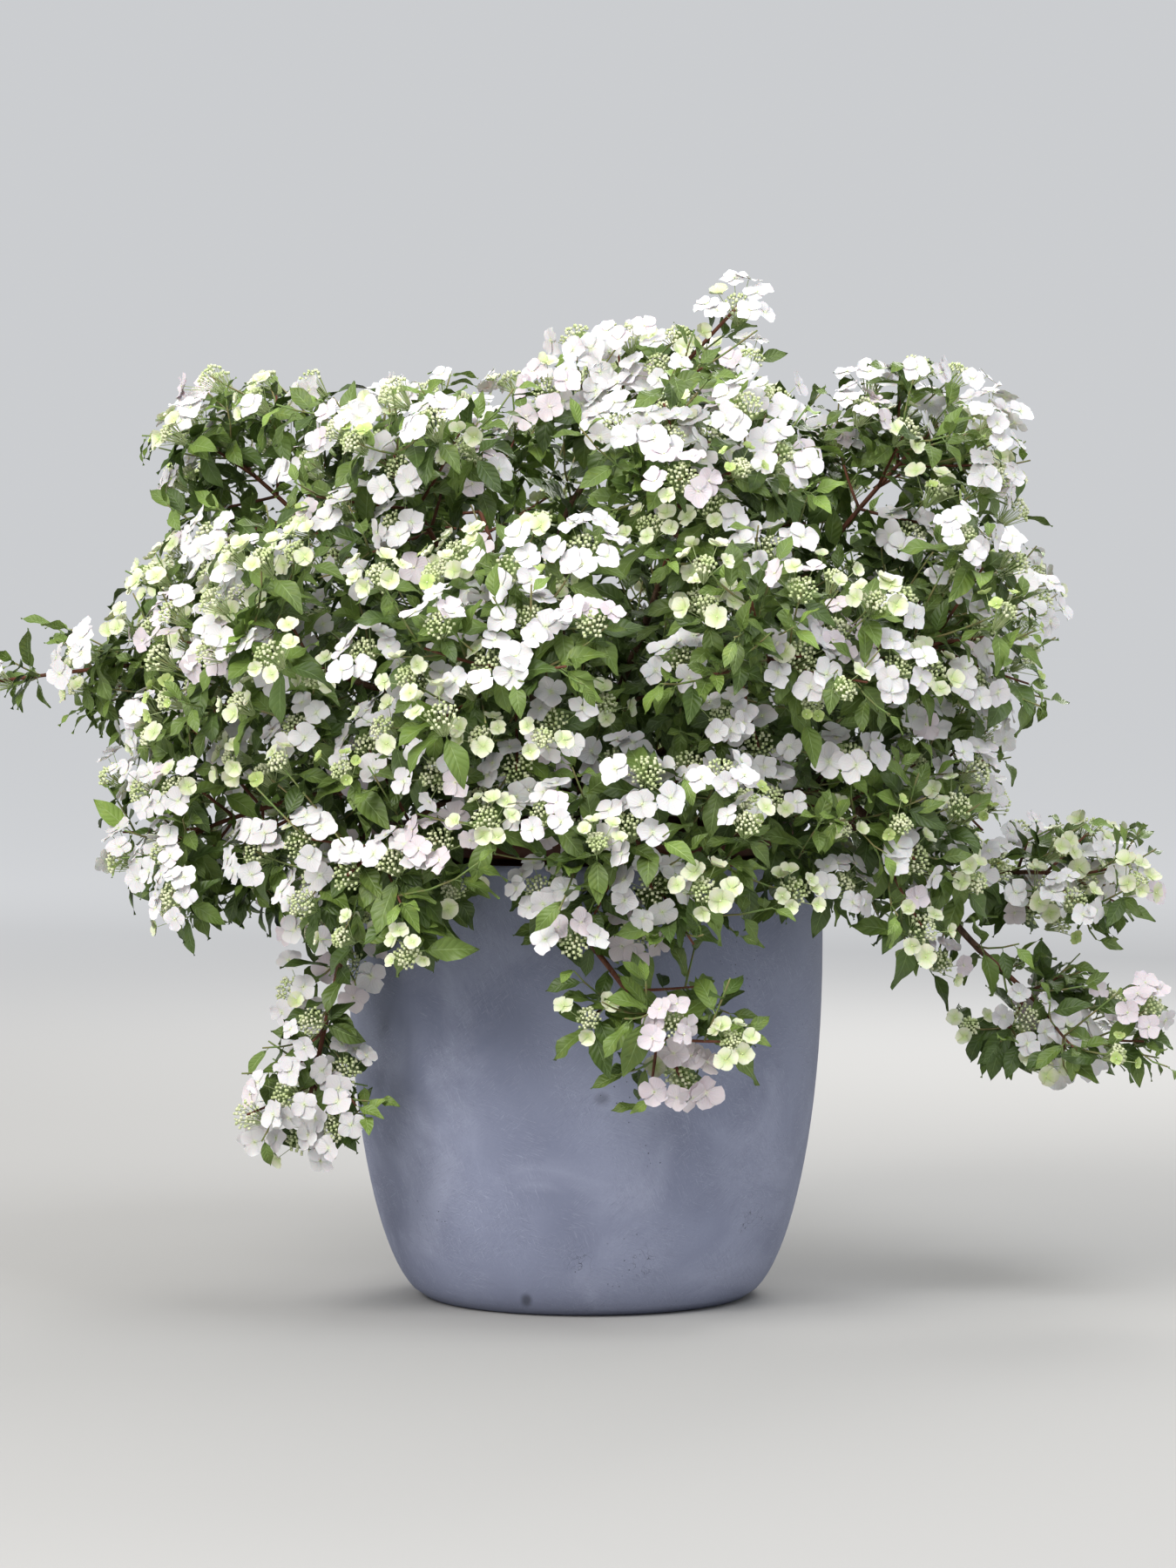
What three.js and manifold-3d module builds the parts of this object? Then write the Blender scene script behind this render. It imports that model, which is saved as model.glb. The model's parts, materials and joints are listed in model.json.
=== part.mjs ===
// A garland hydrangea in a round planter, in millimetres, with +Z up.
// The origin is the middle of the planter's flat underside, and the plant's front looks along -Y.
// Arching boughs rise from one woody root crown, and each ends in a spray of twigs, leaves and lacecap heads.
import * as THREE from "three";
import { mergeVertices } from "three/addons/utils/BufferGeometryUtils.js";
import Module from "manifold-3d";

const wasm = await Module();
wasm.setup();

// The planter: a cast shell whose foot is a quarter of an ellipse
const planterHeight = 540;
const planterRadius = 290;
const footRadius = 188;
const footHeight = 430;
const wall = 18;
const planterFloor = 25;
const planterSides = 36;

// The nursery pot that stands inside it, and the compost in that
const potTop = 576;
const potRimRadius = 262;
const potRimDepth = 30;
const potTopRadius = 252;
const potFootRadius = 165;
const potWall = 4;
const potSides = 24;
const compostTop = 548;

// The gap that neighbouring solids keep
const seat = 0.3;

// The woody root crown that every bough comes from
const rootRadius = 46;
const rootHeight = 66;
const rootFlare = 14;
const rootLean = 6;
const rootKnots = [575, 600]; // the heights that the lowest and the highest boughs leave it at

// Boughs
const boughFootRadius = 7;
const boughTipRadius = 4.2;
const boughSides = 5;
const boughStep = 110; // the length of one straight step of a bough, about

// Twigs, three-sided: a spray's own stem and the shoots on it
const stemRadius = 4.8;
const stemTipRadius = 3.6;
const shootRadius = 2.2;
const shootTipRadius = 1.8;
const entry = 95; // from a spray's middle back to its bough's tip
const longStem = 150; // past this a stem carries one more pair of leaves beyond the core
const shootPairs = 3;
const shootTurn = 60; // from one opposite pair of shoots round to the next
const shootOpenings = [72, 58, 48];
const shootKnots = [-35, 0, 35]; // along the stem from the spray's middle
const shootLength = 118;

// The dense middle of a full spray, which its leaves stand out of
const coreRadius = 105;
const coreShares = [1.25, 1, 0.85]; // of that radius: from side to side, across, and along the stem
const coreRoughness = 0.55;
const coreShrink = 0.9; // each try at a core that touches no limb

// Leaves and flower heads, larger than life because they are fewer
const leafLength = 118;
const leafWidth = 76;
const leafThickness = 2.8;
const leafKeel = 6;
const leafDroop = 18;
const leafSunk = 7;
const leafSunkInTwig = 2;
const leafTries = [[0, 1], [0.4, 1], [-0.4, 1], [0, 0.8], [0.4, 0.8]]; // tilt and size
const headRadius = 66;
const headNotch = 0.6; // how far in the gaps between the florets reach
const headLobes = 5;
const headDome = 17;
const headSunk = 7;
const headTries = [[1, 1], [0.85, 1], [0.85, 0.85], [0.7, 0.85]]; // share of the shoot, and size
const openScale = 0.8; // the leaves, heads and shoots of a looser spray

const clearOfCell = 0.6; // half the gap between two sprays
const clearOfLimbs = 0.8;

// Every spray: its name, the way it faces round the plant (0 is the front, 90 the right), how far out and
// how high its middle is, how its stem leans from level, how far the stem runs on past the middle, and the
// bough that its own bough leaves, at what share of that bough's length. Some stems turn aside as well. An
// open spray is looser and has no dense middle.
const sprayRows = [
  ["top_middle", 75, 60, 1060, 48, 198, "root_crown"],
  ["shoulder_left", -97, 385, 975, 42, 105, "root_crown"],
  ["shoulder_front_left", -42, 300, 955, 48, 105, "root_crown"],
  ["shoulder_front_right", 24, 285, 955, 50, 105, "root_crown"],
  ["shoulder_right", 84, 360, 985, 48, 110, "root_crown"],
  ["shoulder_back_right", 143, 310, 960, 48, 105, "root_crown"],
  ["shoulder_back_left", -154, 310, 960, 48, 105, "root_crown"],
  ["middle_left", -91, 450, 775, -5, 268, "shoulder_left", 0.35],
  ["middle_front_left", -53, 435, 775, 12, 105, "shoulder_front_left", 0.35],
  ["middle_front", -12, 420, 760, 10, 105, "root_crown"],
  ["middle_front_right", 28, 415, 770, 10, 105, "shoulder_front_right", 0.35],
  ["middle_right_front", 66, 415, 785, 12, 105, "shoulder_right", 0.35],
  ["middle_right", 108, 410, 800, 26, 190, "root_crown", 0, { turn: -12 }],
  ["middle_back_right", 150, 415, 770, 10, 105, "shoulder_back_right", 0.35],
  ["middle_back", -169, 415, 765, 10, 105, "root_crown"],
  ["middle_back_left", -129, 425, 770, 10, 105, "shoulder_back_left", 0.35],
  ["lower_left", -74, 435, 585, -18, 105, "root_crown"],
  ["lower_front_left", -33, 405, 575, -22, 100, "root_crown"],
  ["lower_front", 9, 395, 565, -26, 90, "lower_front_left", 0.3],
  ["lower_front_right", 50, 405, 585, -20, 100, "root_crown"],
  ["lower_right", 93, 405, 620, -8, 105, "lower_front_right", 0.3],
  ["lower_back_right", 139, 410, 585, -20, 105, "root_crown"],
  ["lower_back", -176, 400, 575, -22, 100, "lower_back_right", 0.3],
  ["lower_back_left", -126, 415, 585, -20, 105, "root_crown"],
  ["right_low_spray", 92, 565, 510, -2, 50, "lower_right", 0.6, { open: true }],
  ["right_low_drop", 86, 560, 345, -46, 50, "lower_right", 0.85, { open: true }],
  ["left_hanging", -53, 392, 315, -75, 100, "lower_left", 0.7, { open: true }],
  ["front_hanging", 9, 400, 375, -48, 90, "lower_front", 0.85, { turn: 42, open: true }],
];
const sprays = sprayRows.map(([name, azimuth, reach, height, lean, outward, from, at, own]) => {
  return { name, azimuth, reach, height, lean, outward, from, at, ...own };
});

const up = new THREE.Vector3(0, 0, 1);
const radians = THREE.MathUtils.degToRad;

// The same run of numbers from 0 to 1 every time, for one seed
function seeded(seed) {
  let state = seed * 7919 + 12345;
  return () => {
    state = (state * 1664525 + 1013904223) % 4294967296;
    return state / 4294967296;
  };
}

// A closed geometry as a solid that can be joined and cut
function solidOf(geometry) {
  const bare = new THREE.BufferGeometry().setAttribute("position", geometry.getAttribute("position"));
  if (geometry.index) bare.setIndex(geometry.index);
  const merged = mergeVertices(bare, 1e-4);
  return new wasm.Manifold(
    new wasm.Mesh({
      numProp: 3,
      vertProperties: new Float32Array(merged.attributes.position.array),
      triVerts: new Uint32Array(merged.index.array),
    }),
  );
}

// A solid as a geometry, without any loose scrap beside its largest body
function geometryOf(solid) {
  const bodies = solid.decompose().sort((a, b) => b.volume() - a.volume());
  const mesh = bodies[0].getMesh();
  return new THREE.BufferGeometry()
    .setAttribute("position", new THREE.BufferAttribute(new Float32Array(mesh.vertProperties), 3))
    .setIndex(new THREE.BufferAttribute(new Uint32Array(mesh.triVerts), 1));
}

// The point at an azimuth, a reach and a height round the plant
function around(azimuth, reach, height) {
  const turn = radians(azimuth);
  return new THREE.Vector3(reach * Math.sin(turn), -reach * Math.cos(turn), height);
}

// A round limb that tapers along a curve: a cylinder bent onto it
function limb(curve, footRadiusOfLimb, tipRadius, sides, steps) {
  const geometry = new THREE.CylinderGeometry(1, 1, 1, sides, steps);
  const position = geometry.getAttribute("position");
  const frames = curve.computeFrenetFrames(steps, false);
  const point = new THREE.Vector3();
  for (let i = 0; i < position.count; i++) {
    const share = 0.5 - position.getY(i);
    const ring = Math.round(share * steps);
    const radius = THREE.MathUtils.lerp(footRadiusOfLimb, tipRadius, share);
    curve.getPointAt(share, point);
    point.addScaledVector(frames.normals[ring], radius * position.getX(i));
    point.addScaledVector(frames.binormals[ring], radius * position.getZ(i));
    position.setXYZ(i, point.x, point.y, point.z);
  }
  return geometry;
}

// The quarter ellipse of the planter's foot, and its straight wall above
function planterOutside(height) {
  const share = Math.min(height / footHeight, 1);
  return footRadius + (planterRadius - footRadius) * Math.sqrt(1 - (1 - share) ** 2);
}

function lathe(profile, sides) {
  const points = profile.map(([radius, height]) => new THREE.Vector2(radius, height));
  return new THREE.LatheGeometry(points, sides).rotateX(Math.PI / 2);
}

function planterShape() {
  const outside = [0, 10, 40, 90, 170, 280, footHeight].map((z) => [planterOutside(z), z]);
  const inside = [430, 250, 110].map((z) => [planterOutside(z) - wall, z]);
  const lip = [0, 60, 120, 180].map((angle) => [
    planterRadius - wall / 2 + (wall / 2) * Math.cos(radians(angle)),
    planterHeight - wall / 2 + (wall / 2) * Math.sin(radians(angle)),
  ]);
  const floorRadius = planterOutside(planterFloor) - wall;
  const floor = [[floorRadius, planterFloor], [0, planterFloor]];
  return lathe([[0, 0], ...outside, ...lip, ...inside, ...floor], planterSides);
}

// The nursery pot's radius, which narrows evenly to its foot
function potOutside(height) {
  const foot = planterFloor + seat;
  return THREE.MathUtils.mapLinear(height, foot, potTop, potFootRadius, potTopRadius);
}

function potShape() {
  const foot = planterFloor + seat;
  const shoulder = potTop - potRimDepth;
  return lathe(
    [
      [0, foot],
      [potFootRadius, foot],
      [potOutside(shoulder), shoulder],
      [potRimRadius, shoulder],
      [potRimRadius, potTop],
      [potTopRadius - potWall, potTop],
      [potFootRadius - potWall, foot + potWall],
      [0, foot + potWall],
    ],
    potSides,
  );
}

function compostShape() {
  const foot = planterFloor + seat + potWall + seat;
  const inside = (height) => potOutside(height) - potWall - 1;
  const crest = 12; // it rises to the middle, where the plant stands
  return lathe(
    [
      [0, foot],
      [inside(foot), foot],
      [inside(compostTop - crest), compostTop - crest],
      [rootRadius + rootFlare + 10, compostTop],
      [0, compostTop],
    ],
    potSides,
  );
}

// The root crown: a knotted stump with a flare at the compost and a domed top, leaning a little
function rootShape(grown) {
  const foot = compostTop + seat;
  const profile = [
    [rootRadius + rootFlare, 0],
    [rootRadius + rootFlare * 0.35, 0.16],
    [rootRadius, 0.42],
    [rootRadius * 0.93, 0.7],
    [rootRadius * 0.62, 0.93],
  ];
  const geometry = lathe(
    [
      [0, foot - grown],
      ...profile.map(([radius, share]) => [radius + grown, foot + share * rootHeight - (share ? 0 : grown)]),
      [0, foot + rootHeight + grown],
    ],
    10,
  );
  const position = geometry.getAttribute("position");
  for (let i = 0; i < position.count; i++) {
    const share = (position.getZ(i) - foot) / rootHeight;
    position.setX(i, position.getX(i) + rootLean * Math.max(share, 0));
  }
  return geometry;
}

// Where a spray's stem begins, runs and ends, and the light that its shoots bend to
function layOut(spray) {
  const middle = around(spray.azimuth, spray.reach, spray.height);
  const outwards = around(spray.azimuth, 1, 0);
  const along = around(spray.azimuth + (spray.turn ?? 0), Math.cos(radians(spray.lean)), 0);
  along.addScaledVector(up, Math.sin(radians(spray.lean)));
  const start = middle.clone().addScaledVector(along, -entry);
  const tip = middle.clone().addScaledVector(along, spray.outward);
  const crest = middle.clone().addScaledVector(up, 12);
  const light = outwards.clone().multiplyScalar(0.75).addScaledVector(up, 0.65).normalize();
  return { middle, along, start, tip, light, stem: new THREE.QuadraticBezierCurve3(start, crest, tip) };
}

const laidOut = new Map(sprays.map((spray) => [spray.name, layOut(spray)]));

// The curve of a bough: it leaves its parent, arches, and comes into its spray along the spray's own stem
const boughCurves = new Map();
for (const spray of sprays) {
  const { start, stem } = laidOut.get(spray.name);
  const arriving = stem.getTangentAt(0);
  const foot = new THREE.Vector3(0, 0, THREE.MathUtils.mapLinear(start.z, 600, 1000, ...rootKnots));
  const rise = new THREE.Vector3(0, 0, 0.55);
  if (spray.from !== "root_crown") {
    const parent = boughCurves.get(spray.from);
    foot.copy(parent.getPointAt(spray.at));
    rise.copy(parent.getTangentAt(spray.at)).multiplyScalar(0.8);
  }
  const span = foot.distanceTo(start);
  const leaving = start.clone().sub(foot).normalize().add(rise).normalize();
  boughCurves.set(
    spray.name,
    new THREE.CubicBezierCurve3(
      foot,
      foot.clone().addScaledVector(leaving, span * 0.4),
      start.clone().addScaledVector(arriving, -span * 0.33),
      start.clone().addScaledVector(arriving, -seat),
    ),
  );
}

function boughShape(name, grown) {
  const curve = boughCurves.get(name);
  const reach = curve.getLength();
  const foot = Math.min(boughFootRadius, boughTipRadius + reach * 0.006);
  const steps = Math.max(2, Math.round(reach / boughStep));
  return solidOf(limb(curve, foot + grown, boughTipRadius + grown, boughSides, steps));
}

// The shoots of a spray: opposite pairs along its stem, each pair a part turn on from the last
function shootsOf(spray, index) {
  const random = seeded(index + 1);
  const { stem, light } = laidOut.get(spray.name);
  const whole = entry + spray.outward;
  const start = 360 * random();
  const shoots = [];
  for (let pair = 0; pair < shootPairs; pair++) {
    const share = (entry + shootKnots[pair]) / whole;
    const knot = stem.getPointAt(share);
    const along = stem.getTangentAt(share);
    const side = new THREE.Vector3().crossVectors(along, up).normalize();
    const other = new THREE.Vector3().crossVectors(side, along);
    const roll = radians(start + shootTurn * pair + 16 * (random() - 0.5));
    for (const sign of [1, -1]) {
      const opening = radians(shootOpenings[pair] + 10 * (random() - 0.5));
      const length = shootLength * (0.9 + 0.2 * random()) * (spray.open ? openScale : 1);
      const heading = along.clone().multiplyScalar(Math.cos(opening));
      heading.addScaledVector(side, sign * Math.sin(opening) * Math.cos(roll));
      heading.addScaledVector(other, sign * Math.sin(opening) * Math.sin(roll));
      const end = knot.clone().addScaledVector(heading, length).addScaledVector(light, length * 0.12);
      shoots.push({ curve: new THREE.LineCurve3(knot, end), flowers: (pair + (sign > 0)) % 2 === 1 });
    }
  }
  return shoots;
}

// One leaf: eight faces, keeled along its midrib, from a sunken root to a drooping tip
function leafShape(root, heading, light, scale, sunk) {
  const geometry = new THREE.OctahedronGeometry(1, 0);
  const position = geometry.getAttribute("position");
  const across = new THREE.Vector3().crossVectors(light, heading).normalize();
  const top = new THREE.Vector3().crossVectors(heading, across).normalize();
  const point = new THREE.Vector3();
  for (let i = 0; i < position.count; i++) {
    const [x, y, z] = [position.getX(i), position.getY(i), position.getZ(i)];
    const length = x ? (x > 0 ? leafLength * scale : -sunk) : leafLength * scale * 0.42;
    const drop = x > 0 ? -leafDroop * scale : z ? -leafKeel + (z * leafThickness) / 2 : 0;
    point.copy(root).addScaledVector(heading, length);
    point.addScaledVector(across, (y * leafWidth * scale) / 2).addScaledVector(top, drop);
    position.setXYZ(i, point.x, point.y, point.z);
  }
  return geometry;
}

// The leaves of a twig at a share of its length: an opposite pair, one a little above the other
function leafPair(curve, share, light) {
  const along = curve.getTangentAt(share);
  const side = new THREE.Vector3().crossVectors(along, light).normalize();
  return [1, -1].map((sign) => ({
    root: curve.getPointAt(share).addScaledVector(along, -5 * (1 + sign)),
    heading: along.clone().multiplyScalar(0.5).addScaledVector(side, sign * 0.86).normalize(),
  }));
}

// A lacecap head: a low cone of buds whose rim is a ring of florets, as lobes
function headShape(centre, facing, scale) {
  const profile = [
    [0, -headSunk],
    [headRadius, 0],
    [0, headDome],
  ];
  const geometry = lathe(profile, headLobes * 2);
  const position = geometry.getAttribute("position");
  for (let i = 0; i < position.count; i++) {
    const spoke = Math.floor(i / profile.length) % (headLobes * 2);
    if (i % profile.length !== 1) continue;
    const share = spoke % 2 ? headNotch : 1;
    const rise = spoke % 2 ? 2 : (spoke % 3) * 4 - 4;
    position.setXYZ(i, position.getX(i) * share, position.getY(i) * share, rise);
  }
  geometry.scale(scale, scale, scale);
  geometry.applyQuaternion(new THREE.Quaternion().setFromUnitVectors(up, facing));
  return geometry.translate(centre.x, centre.y, centre.z);
}

// The dense middle of a spray: a lump drawn out along its stem
function coreShape(spray, share) {
  const { middle, along } = laidOut.get(spray.name);
  const side = new THREE.Vector3().crossVectors(along, up).normalize();
  const across = new THREE.Vector3().crossVectors(side, along);
  const random = seeded(spray.azimuth + 400);
  const geometry = new THREE.OctahedronGeometry(coreRadius * share, 1);
  const lump = mergeVertices(geometry.deleteAttribute("normal").deleteAttribute("uv"), 1e-3);
  const position = lump.getAttribute("position");
  for (let i = 0; i < position.count; i++) {
    const rough = 1 + coreRoughness * (random() - 0.5);
    position.setXYZ(i, position.getX(i) * rough, position.getY(i) * rough, position.getZ(i) * rough);
  }
  lump.scale(...coreShares);
  lump.applyMatrix4(new THREE.Matrix4().makeBasis(side, across, along.clone().negate()));
  return lump.translate(middle.x, middle.y, middle.z);
}

// The share of a shoot at which a leaf's root is well sunk in the core
function shareInside(curve, core) {
  const position = core.getAttribute("position");
  const corner = (i) => new THREE.Vector3().fromBufferAttribute(position, core.index.getX(i));
  const planes = [];
  for (let i = 0; i < core.index.count; i += 3) {
    planes.push(new THREE.Plane().setFromCoplanarPoints(corner(i), corner(i + 1), corner(i + 2)));
  }
  const depth = (point) => Math.min(...planes.map((plane) => -plane.distanceToPoint(point)));
  let share = 1;
  while (share > 0.1 && depth(curve.getPointAt(share)) < leafSunk) share -= 0.04;
  return share;
}

// True where every corner of a piece lies in its own spray's share of the plant
function inOwnSpace(geometry, spray) {
  const { middle } = laidOut.get(spray.name);
  const position = geometry.getAttribute("position");
  const point = new THREE.Vector3();
  for (const other of sprays) {
    if (other === spray) continue;
    const gap = laidOut.get(other.name).middle.clone().sub(middle);
    const half = gap.length() / 2 - clearOfCell;
    gap.normalize();
    for (let i = 0; i < position.count; i++) {
      point.fromBufferAttribute(position, i);
      if (point.sub(middle).dot(gap) > half) return false;
    }
  }
  return true;
}

// A spray: its stem, core, shoots, leaves and heads fused to one solid. What would leave its space, touch a
// limb or cross another blade is left off, after a leaf's few tries at another tilt.
function sprayShape(spray, index, limbs) {
  const { stem, light } = laidOut.get(spray.name);
  const scale = spray.open ? openScale : 1;
  const sunk = spray.open ? leafSunkInTwig : leafSunk;
  const twigs = [solidOf(limb(stem, stemRadius, stemTipRadius, 3, 2))];
  const blades = [];
  const clear = (geometry) => inOwnSpace(geometry, spray) && solidOf(geometry).intersect(limbs).isEmpty();
  const grow = (geometry) => {
    if (!clear(geometry)) return false;
    const solid = solidOf(geometry);
    if (blades.some((blade) => !solid.intersect(blade).isEmpty())) return false;
    blades.push(solid);
    return true;
  };
  const growLeaf = ({ root, heading }) =>
    leafTries.some(([tilt, size]) => {
      const tilted = heading.clone().addScaledVector(light, tilt).normalize();
      return grow(leafShape(root, tilted, light, scale * size, sunk));
    });
  const growHead = (curve, radius) =>
    headTries.some(([share, size]) => {
      const tip = curve.getPointAt(share);
      const twig = limb(new THREE.LineCurve3(curve.getPointAt(0), tip), radius, shootTipRadius, 3, 1);
      const facing = curve.getTangentAt(share).multiplyScalar(0.5).add(light).normalize();
      if (!clear(twig) || !grow(headShape(tip, facing, scale * size))) return false;
      twigs.push(solidOf(twig));
      return true;
    });

  let core = coreShape(spray, 1);
  for (let share = 1; share > 0.3 && !clear(core); share *= coreShrink) core = coreShape(spray, share);
  if (!spray.open) twigs.push(solidOf(core));
  grow(headShape(stem.getPointAt(1), light.clone().add(stem.getTangentAt(1)).normalize(), scale));
  const shoots = shootsOf(spray, index);
  for (const { curve, flowers } of shoots) {
    if (flowers) growHead(curve, shootRadius);
  }
  if (spray.open) {
    for (const pair of [0, 1, 2]) leafPair(stem, 0.2 + 0.3 * pair, light).forEach(growLeaf);
  } else {
    for (const { curve, flowers } of shoots) {
      const share = shareInside(curve, core);
      leafPair(curve, share, light).forEach(growLeaf);
      if (!flowers) growLeaf({ root: curve.getPointAt(share), heading: curve.getTangentAt(share) });
    }
    leafPair(stem, shareInside(stem, core), light).forEach(growLeaf);
    if (spray.outward > longStem) leafPair(stem, 0.78, light).forEach(growLeaf);
  }
  return geometryOf(wasm.Manifold.union([...twigs, ...blades]));
}

const finishes = {
  planter: new THREE.MeshStandardMaterial({ color: 0x7d8696, roughness: 0.75, metalness: 0 }),
  innerPot: new THREE.MeshStandardMaterial({ color: 0x5a2418, roughness: 0.6, metalness: 0 }),
  compost: new THREE.MeshStandardMaterial({ color: 0x2b2019, roughness: 1, metalness: 0 }),
  bark: new THREE.MeshStandardMaterial({ color: 0x4a3226, roughness: 0.85, metalness: 0 }),
  foliage: new THREE.MeshStandardMaterial({ color: 0x8ba77c, roughness: 0.6, metalness: 0 }),
};

const plant = new THREE.Group();

function add(name, geometry, finish) {
  const mesh = new THREE.Mesh(geometry, finish);
  mesh.name = name;
  plant.add(mesh);
}

add("planter", planterShape(), finishes.planter);
add("inner_pot", potShape(), finishes.innerPot);
add("compost", compostShape(), finishes.compost);
add("root_crown", rootShape(0), finishes.bark);

// A bough is cut back from the root crown or bough that it leaves, so that it sits against it, and from an
// earlier bough that it brushes past
const rootGrown = solidOf(rootShape(seat));
const earlier = [];
for (const { name, from } of sprays) {
  let bough = boughShape(name, 0).subtract(from === "root_crown" ? rootGrown : boughShape(from, seat));
  for (const other of earlier) {
    if (!bough.intersect(other).isEmpty()) bough = bough.subtract(other);
  }
  earlier.push(boughShape(name, seat));
  add(`bough_${name}`, geometryOf(bough), finishes.bark);
}

const limbs = wasm.Manifold.union([
  ...sprays.map(({ name }) => boughShape(name, clearOfLimbs)),
  ...[planterShape(), potShape(), compostShape(), rootShape(clearOfLimbs)].map(solidOf),
]);
sprays.forEach((spray, index) => {
  add(`foliage_${spray.name}`, sprayShape(spray, index, limbs), finishes.foliage);
});

export default plant;
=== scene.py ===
# A garland hydrangea in a round planter, in metres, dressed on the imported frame. Its front looks along -Y.
# Limbs and shoots grow by the solids' rule, which goes on here to finer twigs, leaves and flower heads.
import json
import math
import random

import bmesh
import bpy
import numpy as np
from mathutils import Matrix, Vector, noise

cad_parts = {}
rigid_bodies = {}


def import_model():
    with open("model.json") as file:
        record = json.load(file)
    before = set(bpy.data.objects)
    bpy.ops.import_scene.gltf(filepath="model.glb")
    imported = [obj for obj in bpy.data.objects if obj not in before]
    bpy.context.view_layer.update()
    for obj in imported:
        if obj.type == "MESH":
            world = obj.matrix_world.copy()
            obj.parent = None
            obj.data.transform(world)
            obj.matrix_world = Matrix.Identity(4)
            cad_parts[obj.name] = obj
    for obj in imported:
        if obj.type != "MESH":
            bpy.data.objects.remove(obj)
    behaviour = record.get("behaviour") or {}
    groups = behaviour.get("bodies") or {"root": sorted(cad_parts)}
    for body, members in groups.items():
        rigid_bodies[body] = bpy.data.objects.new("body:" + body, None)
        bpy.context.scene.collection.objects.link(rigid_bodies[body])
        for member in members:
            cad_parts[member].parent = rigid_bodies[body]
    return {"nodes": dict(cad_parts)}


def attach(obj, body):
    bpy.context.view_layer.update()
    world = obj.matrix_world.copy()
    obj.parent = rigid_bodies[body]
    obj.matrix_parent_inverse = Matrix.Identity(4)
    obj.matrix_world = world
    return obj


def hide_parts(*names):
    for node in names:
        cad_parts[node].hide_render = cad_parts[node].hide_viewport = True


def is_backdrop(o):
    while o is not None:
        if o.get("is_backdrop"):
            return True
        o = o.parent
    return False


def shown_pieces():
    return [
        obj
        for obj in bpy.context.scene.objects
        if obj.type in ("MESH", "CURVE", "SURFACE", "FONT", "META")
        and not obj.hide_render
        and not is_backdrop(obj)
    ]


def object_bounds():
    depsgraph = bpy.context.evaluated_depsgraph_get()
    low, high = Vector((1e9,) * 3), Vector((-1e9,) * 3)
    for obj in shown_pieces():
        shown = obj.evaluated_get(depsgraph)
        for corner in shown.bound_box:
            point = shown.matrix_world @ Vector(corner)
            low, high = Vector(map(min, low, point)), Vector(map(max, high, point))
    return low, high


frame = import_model()
cadLow, cadHigh = [np.array(corner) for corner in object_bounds()]
scene = bpy.context.scene
up = Vector((0, 0, 1))
front = Vector((0, -1, 0))

# Camera, light and floor
view = {
    "place": (0.003, -6.1, 0.86),
    "pitchDown": 2.2,
    "lens": 114.6,
    "farthest": 200,
}
lights = [
    # name, place, aimed at, width, watts, colour
    ("key", (-2.6, -3.6, 3.8), (0, 0, 0.7), 2.8, 238, (1.0, 0.975, 0.94)),
    ("fill", (1.6, -2.5, 4.8), (0, 0, 0.7), 2.4, 112, (0.95, 0.97, 1.0)),
    ("back", (1.2, 3.4, 3.2), (0, 0, 0.8), 2.2, 120, (1.0, 0.985, 0.96)),
]
surroundings = {
    "sky": (0.95, 0.97, 1.0),
    "skyStrength": 0.63,
    "floorNear": (0.44, 0.435, 0.425),
    "floorFar": 0.80,
    "fade": (1.6, 9.0),
    "floorRadius": 60,
}

cameraData = bpy.data.cameras.new("camera")
cameraData.lens = view["lens"]
cameraData.clip_end = view["farthest"]
camera = bpy.data.objects.new("camera", cameraData)
camera.location = view["place"]
camera.rotation_euler = (math.radians(90 - view["pitchDown"]), 0, 0)
scene.collection.objects.link(camera)
scene.camera = camera

for name, place, target, width, watts, colour in lights:
    lampData = bpy.data.lights.new(name, "AREA")
    lampData.size = width
    lampData.energy = watts
    lampData.color = colour
    lamp = bpy.data.objects.new(name, lampData)
    lamp.location = place
    lamp.rotation_euler = (Vector(target) - Vector(place)).to_track_quat("-Z", "Y").to_euler()
    scene.collection.objects.link(lamp)

world = bpy.data.worlds.new("sky")
world.use_nodes = True
skyNode = world.node_tree.nodes["Background"]
skyNode.inputs["Color"].default_value = (*surroundings["sky"], 1)
skyNode.inputs["Strength"].default_value = surroundings["skyStrength"]
scene.world = world
scene.view_settings.view_transform = "Standard"
print("camera and lights set")


class Wire:  # a node's output that can stand in a sum
    def __init__(self, finish, socket):
        self.finish = finish
        self.socket = socket

    def maths(self, operation, other=0.0):
        return self.finish.node("ShaderNodeMath", {"operation": operation}, {0: self, 1: other})

    def __add__(self, other):
        return self.maths("ADD", other)

    __radd__ = __add__

    def __sub__(self, other):
        return self.maths("SUBTRACT", other)

    def __mul__(self, other):
        return self.maths("MULTIPLY", other)

    def __mod__(self, other):
        return self.maths("FLOORED_MODULO", other)

    def __abs__(self):
        return self.maths("ABSOLUTE")

    def step(self, low, high, toLow=0.0, toHigh=1.0):  # a smooth step between two of its values
        ends = {"From Min": low, "From Max": high, "To Min": toLow, "To Max": toHigh}
        settings = {"interpolation_type": "SMOOTHSTEP"}
        return self.finish.node("ShaderNodeMapRange", settings, {"Value": self, **ends})


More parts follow.
